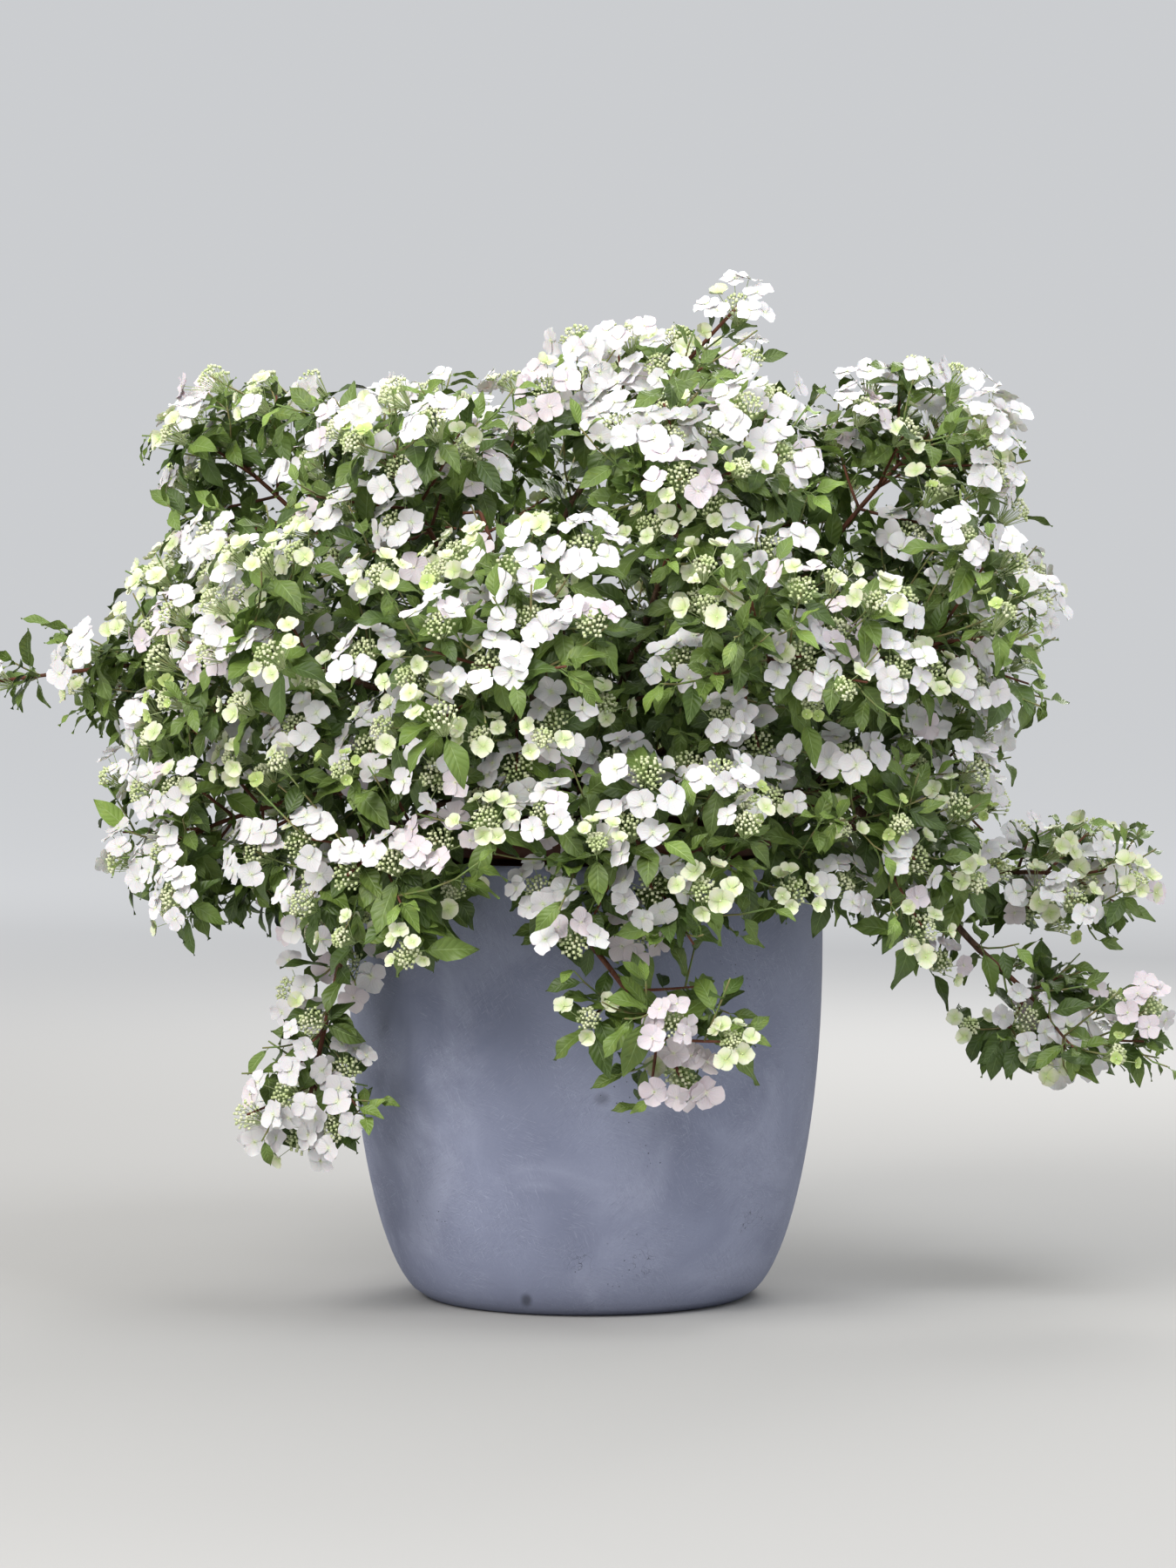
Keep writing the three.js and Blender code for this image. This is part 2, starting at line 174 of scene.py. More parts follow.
class Finish:  # a material with its shader, and the nodes that feed it
    def __init__(self, name, shine):
        self.material = bpy.data.materials.new(name)
        self.material.use_nodes = True
        self.tree = self.material.node_tree
        self.shader = self.tree.nodes["Principled BSDF"]
        self.plug(self.shader, {"Specular IOR Level": shine})

    def node(self, kind, settings, sockets, output=0):
        made = self.tree.nodes.new(kind)
        for setting, value in settings.items():
            setattr(made, setting, value)
        self.plug(made, sockets)
        return Wire(self, made.outputs[output])

    def plug(self, node, sockets):
        for name, value in sockets.items():
            socket = node.inputs[name]
            if isinstance(value, Wire):
                self.tree.links.new(value.socket, socket)
            else:
                socket.default_value = (*value, 1) if socket.type == "RGBA" else value

    def place(self, stretch=(1, 1, 1)):  # the object's own coordinates
        coordinates = self.node("ShaderNodeTexCoord", {}, {}, "Object")
        return self.node("ShaderNodeMapping", {}, {"Vector": coordinates, "Scale": stretch})

    def within(self, middle, size, turn=(0, 0, 0)):  # the same, counted from a spot in units of its own
        coordinates = self.node("ShaderNodeTexCoord", {}, {}, "Object")
        sockets = {"Vector": coordinates, "Location": middle, "Rotation": turn, "Scale": size}
        return self.node("ShaderNodeMapping", {"vector_type": "TEXTURE"}, sockets)

    def distance(self, place):
        return self.node("ShaderNodeVectorMath", {"operation": "LENGTH"}, {0: place}, "Value")

    def along(self, layer, axis):  # one coordinate of the piece's own UV map
        sheet = self.node("ShaderNodeUVMap", {"uv_map": layer}, {})
        return self.node("ShaderNodeSeparateXYZ", {}, {"Vector": sheet}, axis)

    def clouds(self, place, scale, detail=3.0, rough=0.5, swirl=0.0):
        form = {"Scale": scale, "Detail": detail, "Roughness": rough, "Distortion": swirl}
        return self.node("ShaderNodeTexNoise", {}, {"Vector": place, **form})

    def cells(self, place, scale, feature="F1"):
        sockets = {"Vector": place, "Scale": scale}
        return self.node("ShaderNodeTexVoronoi", {"feature": feature}, sockets, "Distance")

    def mix(self, share, first, second):
        return self.node("ShaderNodeMix", {"data_type": "RGBA"}, {0: share, 6: first, 7: second}, 2)

    def dress(self, colour, rough, surface, depth, strength=1.0):  # with a relief as high as the surface
        relief = {"Height": surface, "Distance": depth, "Strength": strength}
        normal = self.node("ShaderNodeBump", {}, relief)
        self.plug(self.shader, {"Base Color": colour, "Roughness": rough, "Normal": normal})
        return self.material


def pieceOf(mesh, name, material):
    piece = bpy.data.objects.new(name, mesh)
    scene.collection.objects.link(piece)
    mesh.materials.append(material)
    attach(piece, "root")
    return piece


def meshOf(shape, name):  # a bmesh as a smooth mesh
    for face in shape.faces:
        face.smooth = True
    mesh = bpy.data.meshes.new(name)
    shape.to_mesh(mesh)
    shape.free()
    return mesh


def lathe(outline, steps):  # a closed profile of radii and heights, spun round the upright axis
    shape = bmesh.new()
    corners = [shape.verts.new((radius, 0, height)) for radius, height in outline]
    edges = [shape.edges.new(pair) for pair in zip(corners, corners[1:])]
    bmesh.ops.spin(
        shape,
        geom=corners + edges,
        cent=(0, 0, 0),
        axis=up,
        angle=math.tau,
        steps=steps,
        use_merge=True,
    )
    bmesh.ops.remove_doubles(shape, verts=shape.verts, dist=1e-5)
    bmesh.ops.recalc_face_normals(shape, faces=shape.faces)
    return shape


def arc(centre, radius, first, last, count):  # points of an arc in a profile, by its angles in degrees
    angles = [math.radians(first + (last - first) * i / (count - 1)) for i in range(count)]
    return [(centre[0] + radius * math.cos(a), centre[1] + radius * math.sin(a)) for a in angles]


# The floor, which fades into the sky far off
def floorMaterial():
    finish = Finish("pale_floor", 0.0)
    far = finish.distance(finish.place()).step(*surroundings["fade"])
    farColour = [surroundings["floorFar"]] * 3
    unlit = surroundings["skyStrength"] * (1 - surroundings["floorFar"])
    glow = [c * unlit for c in surroundings["sky"]]
    finish.plug(finish.shader, {
        "Base Color": finish.mix(far, surroundings["floorNear"], farColour),
        "Roughness": 1.0,
        "Emission Color": finish.mix(far, (0, 0, 0), glow),
        "Emission Strength": 1.0,
    })
    return finish.material


floorShape = bmesh.new()
bmesh.ops.create_circle(floorShape, cap_ends=True, segments=64, radius=surroundings["floorRadius"])
floor = bpy.data.objects.new("floor", meshOf(floorShape, "floor"))
floor.data.materials.append(floorMaterial())
scene.collection.objects.link(floor)
floor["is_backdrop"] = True

# The planter: fibre clay, cast in a mould whose foot is a quarter of an ellipse
planter = {
    "height": 0.540,
    "radius": 0.290,
    "footRadius": 0.188,
    "footHeight": 0.430,
    "wall": 0.018,
    "floor": 0.025,
    "footRound": 0.004,
    "wobble": 0.0007,
    "sideRings": 22,
    "ringCrowding": 1.8,  # to the foot, where its side bends the most
    "steps": 160,
    "colour": (0.307, 0.335, 0.462),
    "paleColour": (0.445, 0.473, 0.615),
    "darkColour": (0.205, 0.226, 0.325),
    "dirtColour": (0.055, 0.06, 0.075),
    "strokeSize": (0.011, 0.011, 0.0011),
    "strokeTurns": (0.35, -0.75, 1.2),
    "strokePatch": (0.06, 0.06, 0.06),
    "marks": [
        # middle, half sizes, strength: a dark band down the left side, a stain and a chip
        ((-0.186, -0.20, 0.234), (0.014, 0.12, 0.055), 0.10),
        ((0.020, -0.28, 0.268), (0.012, 0.10, 0.010), 0.45),
        ((-0.070, -0.22, 0.020), (0.008, 0.10, 0.010), 0.85),
    ],
    "pitted": ((0.083, -0.27, 0.209), (0.024, 0.10, 0.034)),
    "cracked": [
        ((-0.006, -0.24, 0.072), (0.020, 0.10, 0.028)),
        ((0.068, -0.24, 0.070), (0.016, 0.10, 0.024)),
        ((0.198, -0.17, 0.108), (0.022, 0.10, 0.020)),
    ],
}


def planterOutside(height):
    share = min(max(height / planter["footHeight"], 0), 1)
    quarter = math.sqrt(1 - (1 - share) ** 2)
    return planter["footRadius"] + (planter["radius"] - planter["footRadius"]) * quarter


def makePlanter():
    foot = planter["footRound"]
    wall = planter["wall"]
    floorTop = planter["floor"]
    rings = planter["sideRings"]
    heights = [planter["footHeight"] * (i / rings) ** planter["ringCrowding"] for i in range(3, rings + 1)]
    side = [(planterOutside(z), z) for z in heights]
    inside = [(radius - wall, z) for radius, z in reversed(side) if z > floorTop + 0.005]
    lip = arc((planter["radius"] - wall / 2, planter["height"] - wall / 2), wall / 2, 0, 180, 13)
    outline = [(0, 0), (planter["footRadius"] * 0.5, 0), (planter["footRadius"] - foot, 0)]
    outline += [(planterOutside(foot * 0.5) - foot * 0.4, foot * 0.35)] + side + lip + inside
    outline += [(planterOutside(floorTop) - wall, floorTop), (0, floorTop)]
    shape = lathe(outline, planter["steps"])
    for vert in shape.verts:
        if vert.co.z > 0.001:  # its foot stays flat
            swell = noise.noise(vert.co * 5) * planter["wobble"]
            vert.co -= Vector((vert.co.x, vert.co.y, 0)).normalized() * abs(swell)
    return meshOf(shape, "planter_shell")


def fibreClay():
    finish = Finish("fibre_clay", 0.3)
    place = finish.place()
    broad = finish.clouds(place, 2.8, 3, 0.5, 0.5)
    soft = finish.clouds(place, 8, 4, 0.55, 0.8)
    grain = finish.clouds(place, 420, 2, 0.6)
    colour = finish.mix(broad.step(0.3, 0.68), planter["darkColour"], planter["colour"])
    colour = finish.mix(soft.step(0.42, 0.8, 0, 0.55), colour, planter["paleColour"])
    surface = grain * 0.16 + soft * 0.25
    for number, turn in enumerate(planter["strokeTurns"]):  # fine brushed strokes, in patches
        spot = finish.within((number, number * 2, 0), planter["strokeSize"], (0, turn, 0))
        strokes = finish.clouds(spot, 1, 2, 0.5, 0.7)
        patch = finish.within((number * 3, 0, number), planter["strokePatch"])
        where = finish.clouds(patch, 1, 2).step(0.42, 0.6)
        pale = strokes.step(0.55, 0.74) * where
        dark = strokes.step(0.44, 0.24) * where
        colour = finish.mix(pale * 0.42, colour, planter["paleColour"])
        colour = finish.mix(dark * 0.36, colour, planter["darkColour"])
        surface = surface + pale * 0.3 - dark * 0.3
    colour = finish.mix(grain.step(0.35, 0.8, 0, 0.2), colour, planter["darkColour"])
    for middle, size, strength in planter["marks"]:
        edge = finish.distance(finish.within(middle, size)) + soft * 1.4 - 0.7
        colour = finish.mix(edge.step(1.15, 0.2, 0, strength), colour, planter["dirtColour"])
    near = finish.distance(finish.within(*planter["pitted"])).step(1.2, 0.5)
    pits = finish.cells(place, 120).step(0.13, 0.07) * (finish.clouds(place, 11, 1).step(0.60, 0.68) + near)
    bend = finish.node("ShaderNodeTexNoise", {}, {"Vector": place, "Scale": 9, "Detail": 5}, "Color")
    flat = finish.place((1, 1, 0.6))
    bent = finish.node("ShaderNodeVectorMath", {"operation": "ADD"}, {0: flat, 1: bend})
    lines = finish.cells(bent, 13, "DISTANCE_TO_EDGE").step(0.011, 0.003)
    cracks = sum(lines * finish.distance(finish.within(*spot)).step(1, 0.6) for spot in planter["cracked"])
    height = finish.node("ShaderNodeSeparateXYZ", {}, {"Vector": place}, "Z")
    # darker towards the foot: painted contact shade where the planter meets the floor, and dust
    footShadeAndDust = (height + soft * 0.03).step(0.055, 0.012) * 0.4 + height.step(0.012, 0.002) * 0.4
    colour = finish.mix(footShadeAndDust, colour, planter["darkColour"])
    colour = finish.mix(pits * 0.8, colour, planter["dirtColour"])
    colour = finish.mix(cracks * 0.75, colour, planter["dirtColour"])
    surface = surface - pits * 0.9 - cracks * 0.6
    return finish.dress(colour, 0.52 + soft * 0.2 + grain * 0.08, surface, 0.0012, 0.5)


shell = pieceOf(makePlanter(), "planter_shell", fibreClay())
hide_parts("planter")
print("planter made")

# The nursery pot inside it, and its compost
pot = {
    "top": 0.576,
    "rimRadius": 0.262,
    "rimDepth": 0.030,
    "rimRound": 0.002,
    "topRadius": 0.252,
    "footRadius": 0.165,
    "footRound": 0.003,
    "wall": 0.004,
    "foot": 0.0253,
    "ribs": 5,
    "ribProfile": ((-0.004, -0.0002), (0, 0.0009), (0.004, -0.0002)),  # up the side, and out of it
    "steps": 96,
    "colour": (0.13, 0.034, 0.018),
    "dustColour": (0.22, 0.13, 0.09),
}
compost = {
    "top": 0.548,
    "crest": 0.012,
    "foot": 0.0296,
    "gap": 0.005,
    "lumps": 0.0035,
    "rings": 22,
    "steps": 120,
    "chips": 520,
    "chipSize": (0.004, 0.011),
    "chipsFromEdge": 0.012,
    "colour": (0.026, 0.018, 0.012),
    "paleColour": (0.085, 0.052, 0.03),
}


def potOutside(height):
    share = (height - pot["foot"]) / (pot["top"] - pot["foot"])
    return pot["footRadius"] + (pot["topRadius"] - pot["footRadius"]) * share


def makePot():
    foot = pot["foot"]
    top = pot["top"]
    wall = pot["wall"]
    bend = pot["rimRound"]
    shoulder = top - pot["rimDepth"]
    rim = pot["rimRadius"] - bend
    inner = pot["topRadius"] - wall
    outline = [(0, foot), (pot["footRadius"] - pot["footRound"], foot)]
    outline.append((pot["footRadius"], foot + pot["footRound"]))
    for rib in range(pot["ribs"]):
        z = foot + (shoulder - foot) * (rib + 1) / (pot["ribs"] + 1)
        outline += [(potOutside(z) + swell, z + rise) for rise, swell in pot["ribProfile"]]
    outline += [(potOutside(shoulder), shoulder), (rim, shoulder)]
    outline += arc((rim, shoulder + bend), bend, -90, 0, 4)[1:]
    outline += arc((rim, top - bend), bend, 0, 90, 5)
    outline += [(inner + 0.001, top), (inner, top - 0.001)]
    outline += [(pot["footRadius"] - wall, foot + wall), (0, foot + wall)]
    return meshOf(lathe(outline, pot["steps"]), "nursery_pot")


def pottedPlastic():
    finish = Finish("nursery_plastic", 0.4)
    place = finish.place()
    dust = finish.clouds(place, 30, 5, 0.65).step(0.45, 0.7)
    scuffs = finish.clouds(finish.place((1, 1, 12)), 60, 3, 0.6, 1.0).step(0.62, 0.7)
    colour = finish.mix(dust * 0.55, pot["colour"], pot["dustColour"])
    colour = finish.mix(scuffs * 0.3, colour, pot["dustColour"])
    surface = scuffs * 0.5 + finish.clouds(place, 300, 2) * 0.4
    return finish.dress(colour, 0.42 + dust * 0.3, surface, 0.0006, 0.6)


def makeCompost():
    brim = compost["top"] - compost["crest"]  # its height at the edge
    edge = potOutside(brim) - compost["gap"]
    outline = [(0, compost["foot"]), (potOutside(compost["foot"]) - compost["gap"], compost["foot"])]
    for ring in range(compost["rings"] + 1):
        share = ring / compost["rings"]
        outline.append((edge * (1 - share), brim + compost["crest"] * min(1, share * 1.25)))
    shape = lathe(outline, compost["steps"])
    for vert in shape.verts:
        if vert.co.z > brim - 0.001:
            lump = noise.noise(vert.co * 70) + 0.6 * noise.noise(vert.co * 190) - 0.4
            vert.co.z += compost["lumps"] * lump
    rng = random.Random(31)
    for _ in range(compost["chips"]):
        angle = math.tau * rng.random()
        out = (edge - compost["chipsFromEdge"]) * math.sqrt(rng.random())
        size = rng.uniform(*compost["chipSize"])
        height = compost["top"] - compost["crest"] * max(0, out / edge - 0.2) - 0.001
        spot = Matrix.Translation((out * math.cos(angle), out * math.sin(angle), height))
        roll = rng.uniform(0, math.tau)
        turn = Matrix.Rotation(roll, 4, (rng.random(), rng.random(), rng.random() + 0.1))
        stretch = Matrix.Diagonal((size, size * rng.uniform(0.3, 0.6), size * 0.3, 1))
        bmesh.ops.create_icosphere(shape, subdivisions=1, radius=0.5, matrix=spot @ turn @ stretch)
    return meshOf(shape, "compost_bed")


def compostFinish():
    finish = Finish("crumbled_compost", 0.2)
    place = finish.place()
    crumbs = finish.cells(place, 170)
    patches = finish.clouds(place, 45, 4, 0.65)
    colour = finish.mix(patches.step(0.5, 0.75), compost["colour"], compost["paleColour"])
    colour = finish.mix(crumbs.step(0.2, 0.6, 0, 0.5), colour, compost["colour"])
    return finish.dress(colour, 0.9 + patches * 0.1, crumbs + patches, 0.003)


nurseryPot = pieceOf(makePot(), "nursery_pot", pottedPlastic())
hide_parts("inner_pot")
compostBed = pieceOf(makeCompost(), "compost_bed", compostFinish())
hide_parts("compost")
print("inner pot and compost made")

# The sprays: name, azimuth (0 front, 90 right), reach, height, lean, outward run, parent, where along it,
# and what is its own. They are the solids' own sprays, in the same order, which sets each one's seed.
sprayRows = [
    ("top_middle", 75, 0.060, 1.060, 48, 0.198, "root_crown", 0, {
        "bloom": 1, "crowding": 0.60, "leafShare": 0.6, "young": 0.10, "faces": -25,
        "boxedTo": 0.12, "ceiling": 1.185, "twigKnots": (0.22, 0.42),
    }),
    ("shoulder_left", -97, 0.385, 0.975, 42, 0.105, "root_crown", 0, {}),
    ("shoulder_front_left", -42, 0.300, 0.955, 48, 0.105, "root_crown", 0, {"crowding": 0.9}),
    ("shoulder_front_right", 24, 0.285, 0.955, 50, 0.105, "root_crown", 0, {}),
    ("shoulder_right", 84, 0.360, 0.985, 48, 0.110, "root_crown", 0, {"ceiling": 1.15, "crowding": 0.88}),
    ("shoulder_back_right", 143, 0.310, 0.960, 48, 0.105, "root_crown", 0, {}),
    ("shoulder_back_left", -154, 0.310, 0.960, 48, 0.105, "root_crown", 0, {}),
    ("middle_left", -91, 0.450, 0.775, -5, 0.268, "shoulder_left", 0.35, {
        "tipTwigs": 0.5, "boxedTo": 0.08, "tipHead": 0.72, "fromSolid": 0.060,
    }),
    ("middle_front_left", -53, 0.435, 0.775, 12, 0.105, "shoulder_front_left", 0.35, {"crowding": 0.86}),
    ("middle_front", -12, 0.420, 0.760, 10, 0.105, "root_crown", 0, {"crowding": 0.88}),
    ("middle_front_right", 28, 0.415, 0.770, 10, 0.105, "shoulder_front_right", 0.35, {"bloom": 0.7}),
    ("middle_right_front", 66, 0.415, 0.785, 12, 0.105, "shoulder_right", 0.35, {}),
    ("middle_right", 108, 0.410, 0.800, 26, 0.190, "root_crown", 0, {
        "turn": -12, "tipTwigs": 0.9, "boxedTo": 0.08,
    }),
    ("middle_back_right", 150, 0.415, 0.770, 10, 0.105, "shoulder_back_right", 0.35, {}),
    ("middle_back", -169, 0.415, 0.765, 10, 0.105, "root_crown", 0, {}),
    ("middle_back_left", -129, 0.425, 0.770, 10, 0.105, "shoulder_back_left", 0.35, {}),
    ("lower_left", -74, 0.435, 0.585, -18, 0.105, "root_crown", 0, {"crowding": 0.82}),
    ("lower_front_left", -33, 0.405, 0.575, -22, 0.100, "root_crown", 0, {"wide": 1.4, "crowding": 0.82}),
    ("lower_front", 9, 0.395, 0.565, -26, 0.090, "lower_front_left", 0.3, {"wide": 1.6, "crowding": 0.86}),
    ("lower_front_right", 50, 0.405, 0.585, -20, 0.100, "root_crown", 0, {"bloom": 0.55}),
    ("lower_right", 93, 0.405, 0.620, -8, 0.105, "lower_front_right", 0.3, {}),
    ("lower_back_right", 139, 0.410, 0.585, -20, 0.105, "root_crown", 0, {}),
    ("lower_back", -176, 0.400, 0.575, -22, 0.100, "lower_back_right", 0.3, {}),
    ("lower_back_left", -126, 0.415, 0.585, -20, 0.105, "root_crown", 0, {}),
    ("right_low_spray", 92, 0.565, 0.510, -2, 0.050, "lower_right", 0.6, {
        "open": True, "bloom": 1, "crowding": 0.8, "ceiling": 0.585,
    }),
    ("right_low_drop", 86, 0.560, 0.345, -46, 0.050, "lower_right", 0.85, {
        "open": True, "bloom": 0.9, "crowding": 1.05, "leafShare": 0.6, "blush": 0.3,
        "floor": 0.262, "tipHead": 1.35,
    }),
    ("left_hanging", -53, 0.392, 0.315, -75, 0.100, "lower_left", 0.7, {
        "open": True, "bloom": 1, "crowding": 0.8, "leafShare": 0.65, "dry": 12,
        "floor": 0.178, "fromSolid": 0.022, "alongStem": 0.080,
    }),
    ("front_hanging", 9, 0.400, 0.375, -48, 0.090, "lower_front", 0.85, {
        "open": True, "turn": 42, "twigShare": 0.30, "leafShare": 0.7, "bloom": 0.6,
        "crowding": 0.95, "blush": 0.8, "youngShoots": True, "floor": 0.262,
    }),
]
# What a spray's own values are where its row has none. Its own bloom, crowding, young, faces, boxedTo,
# fromSolid, wide and twigKnots stand in the place of values that are worked out further down.
usual = {
    "open": False,  # whether it is a garland whose stems show
    "turn": 0,  # how far its stem turns aside, in degrees
    "ceiling": 9,  # the height that only the end of its stem grows past
    "floor": 0,  # the height that nothing of it grows below
    "alongStem": 0,  # how far from its stem a garland may grow
    "leafShare": 1,  # the share of its leaf pairs that grow, and of its finer twigs
    "twigShare": 1,
    "tipTwigs": 0.9,  # the size of the twigs near its stem's end, and of the head there
    "tipHead": 1.05,
    "youngShoots": False,  # whether the heads on its shoots are young
    "blush": 0.14,  # the share of its heads that are pink
    "dry": 0,  # how many withered leaves hang on its bough
}
blooming = {
    "share": (0.70, 0.16, 0.14),  # of the outer twigs: at the top, how much more below it and on the left
    "crowding": (0.93, 0.09),  # of the gap between heads: on the left, and how much more on the right
    "young": (0.22, 0.10),  # of the heads, in the same way
}
rule = {
    "entry": 0.095,  # from a spray's middle back to its bough's tip
    "crest": 0.012,
    "seat": 0.0003,
    "rootKnots": (0.575, 0.600),
    "startsFrom": 0.6,  # the height of the lowest start of a stem, and from there to the highest
    "startsSpan": 0.4,
    "rise": (0.55, 0.8),  # how much a bough leaves straight up, or along the bough that bears it
    "pulls": (0.4, 0.33),  # of its span, to the two inner controls of its curve
    "boughFoot": 0.007,
    "boughTip": 0.0042,
    "boughTaper": 0.006,
    "shootPairs": 3,
    "shootTurn": 60,
    "shootOpenings": (72, 58, 48),
    "shootKnots": (-0.035, 0, 0.035),
    "shootLength": 0.118,
    "openScale": 0.8,
    "lift": 0.12,
    "longRun": 0.15,
    "curveSteps": 48,
}
reach = {
    "overhang": 0.010,  # how far past its own solid a leaf or floret may stand
    "down": 0.025,
    "nextRow": 0.045,  # up or down, to where the next row of sprays grows
    "topRow": 0.9,
    "inward": 0.080,  # and how far it may lap over its neighbours
    "sideways": 0.042,
    "overRim": 0.095,
    "rimBelow": 0.6,
    "edgeRound": 3.2,  # the power that rounds its space off: 2 is an ellipse, and a high one a box
    "alongBough": 0.085,  # round the bough of an open spray
    "fromSolid": (0.044, 0.056),  # from the nearest corner of a slim spray's own solid, and an open one's
    "aroundTip": 0.055,  # round the end of a stem, which may stand above its spray's ceiling
    "potGap": 0.004,
    "heartRadius": 0.37,  # the heart of the crown, where any of the sprays may grow
    "heartHeights": (0.60, 1.03),
}
sunward = Vector((-0.4, -0.75, 0.5)).normalized()


class Curve:  # a Bezier curve, read by the share of its length
    def __init__(self, *controls):
        t = np.linspace(0, 1, rule["curveSteps"] + 1)[:, None]
        order = len(controls) - 1
        weights = [math.comb(order, i) * (1 - t) ** (order - i) * t**i for i in range(order + 1)]
        self.points = sum(weight * np.array(control) for weight, control in zip(weights, controls))
        gaps = np.linalg.norm(np.diff(self.points, axis=0), axis=1)
        self.runs = np.concatenate([[0], np.cumsum(gaps)])
        self.length = float(self.runs[-1])

    def sample(self, shares):
        runs = np.asarray(shares) * self.length
        return np.stack([np.interp(runs, self.runs, self.points[:, axis]) for axis in range(3)], axis=-1)

    def point(self, share):
        return Vector(self.sample(share))

    def tangent(self, share):
        before, after = self.sample([max(share - 0.02, 0), min(share + 0.02, 1)])
        return Vector(after - before).normalized()


def around(azimuth, out, height):
    turn = math.radians(azimuth)
    return Vector((out * math.sin(turn), -out * math.cos(turn), height))


def seeded(seed):  # the same run of numbers from 0 to 1 as the solids use
    state = seed * 7919 + 12345

    def following():
        nonlocal state
        state = (state * 1664525 + 1013904223) % 4294967296
        return state / 4294967296

    return following


class Spray:  # where a spray's stem runs, the light that its shoots bend to, and the space that it may fill
    def __init__(self, index, row):
        self.index = index
        self.name, self.azimuth, out, height, lean, self.outward, self.parent, self.at, own = row
        self.own = {**usual, **own}
        self.open = self.own["open"]
        self.slim = self.open or self.outward > rule["longRun"]
        self.middle = around(self.azimuth, out, height)
        self.outwards = around(self.azimuth, 1, 0)
        self.along = around(self.azimuth + self.own["turn"], math.cos(math.radians(lean)), 0)
        self.along += up * math.sin(math.radians(lean))
        self.tip = self.middle + self.along * self.outward
        start = self.middle - self.along * rule["entry"]
        self.stem = Curve(start, self.middle + up * rule["crest"], self.tip)
        self.light = (self.outwards * 0.75 + up * 0.65).normalized()
        self.leafLight = (self.light + sunward * 0.35).normalized()
        if self.open:
            self.leafLight = (self.outwards * 0.3 + front * 0.5 + up * 0.65).normalized()
        self.face = self.heading(height)
        self.scale = rule["openScale"] if self.open else 1
        self.setBloom(math.sin(math.radians(self.azimuth)), height < reach["topRow"])
        self.setSpace(height)

    def heading(self, height):  # where its flower heads look: out, up, and a little to the sun
        if self.open:
            return (self.outwards * 0.4 + front * 0.7 + up * 0.5).normalized()
        out = 1.0 if height < reach["topRow"] else 0.7
        outwards = around(self.own.get("faces", self.azimuth), out, 0)
        return (outwards + up * 0.6 + sunward * 0.55).normalized()

    def setBloom(self, toRight, below):  # the left flowers the most, and the right is greener
        self.greenness = 0.5 + 0.5 * toRight
        share, low, left = blooming["share"]
        share = share + (low if below else 0) + left * max(0, -toRight)
        first, more = blooming["crowding"]
        young, moreYoung = blooming["young"]
        self.bloom = self.own.get("bloom", share)
        self.crowding = self.own.get("crowding", first + more * self.greenness)
        self.young = self.own.get("young", young + moreYoung * self.greenness)

    def setSpace(self, height):  # a box along its own axes: out, to the side and up
        self.boxedTo = self.own.get("boxedTo", -1 if self.slim else 1)
        self.fromSolid = self.own.get("fromSolid", reach["fromSolid"][self.open])
        self.corners = np.array([vert.co for vert in frame["nodes"]["foliage_" + self.name].data.vertices])
        self.axes = np.array([self.outwards, up.cross(self.outwards), up])
        run = (self.corners - np.array(self.middle)) @ self.axes.T
        low = height < reach["rimBelow"]
        inward = 0 if self.open else reach["inward"]
        sideways = 0 if self.open else reach["overRim" if low else "sideways"]
        below = reach["down" if self.slim or low else "nextRow"]
        above = reach["overhang" if self.slim or height > reach["topRow"] else "nextRow"]
        self.least = run.min(axis=0) - np.array([inward, sideways, below])
        self.most = run.max(axis=0) + np.array([reach["overhang"], sideways, above])
        self.most[2] = min(self.most[2], self.own["ceiling"] - height)


sprays = [Spray(index, row) for index, row in enumerate(sprayRows)]


def growBoughs():
    boughs = {}
    low, high = rule["rootKnots"]
    for spray in sprays:
        start = spray.stem.point(0)
        arriving = spray.stem.tangent(0)
        foot = Vector((0, 0, low + (high - low) * (start.z - rule["startsFrom"]) / rule["startsSpan"]))
        rise = up * rule["rise"][0]
        if spray.parent != "root_crown":
            foot = boughs[spray.parent].point(spray.at)
            rise = boughs[spray.parent].tangent(spray.at) * rule["rise"][1]
        span = (start - foot).length
        leaving = ((start - foot).normalized() + rise).normalized()
        boughs[spray.name] = Curve(
            foot,
            foot + leaving * span * rule["pulls"][0],
            start - arriving * span * rule["pulls"][1],
            start - arriving * rule["seat"],
        )
    return boughs


boughs = growBoughs()


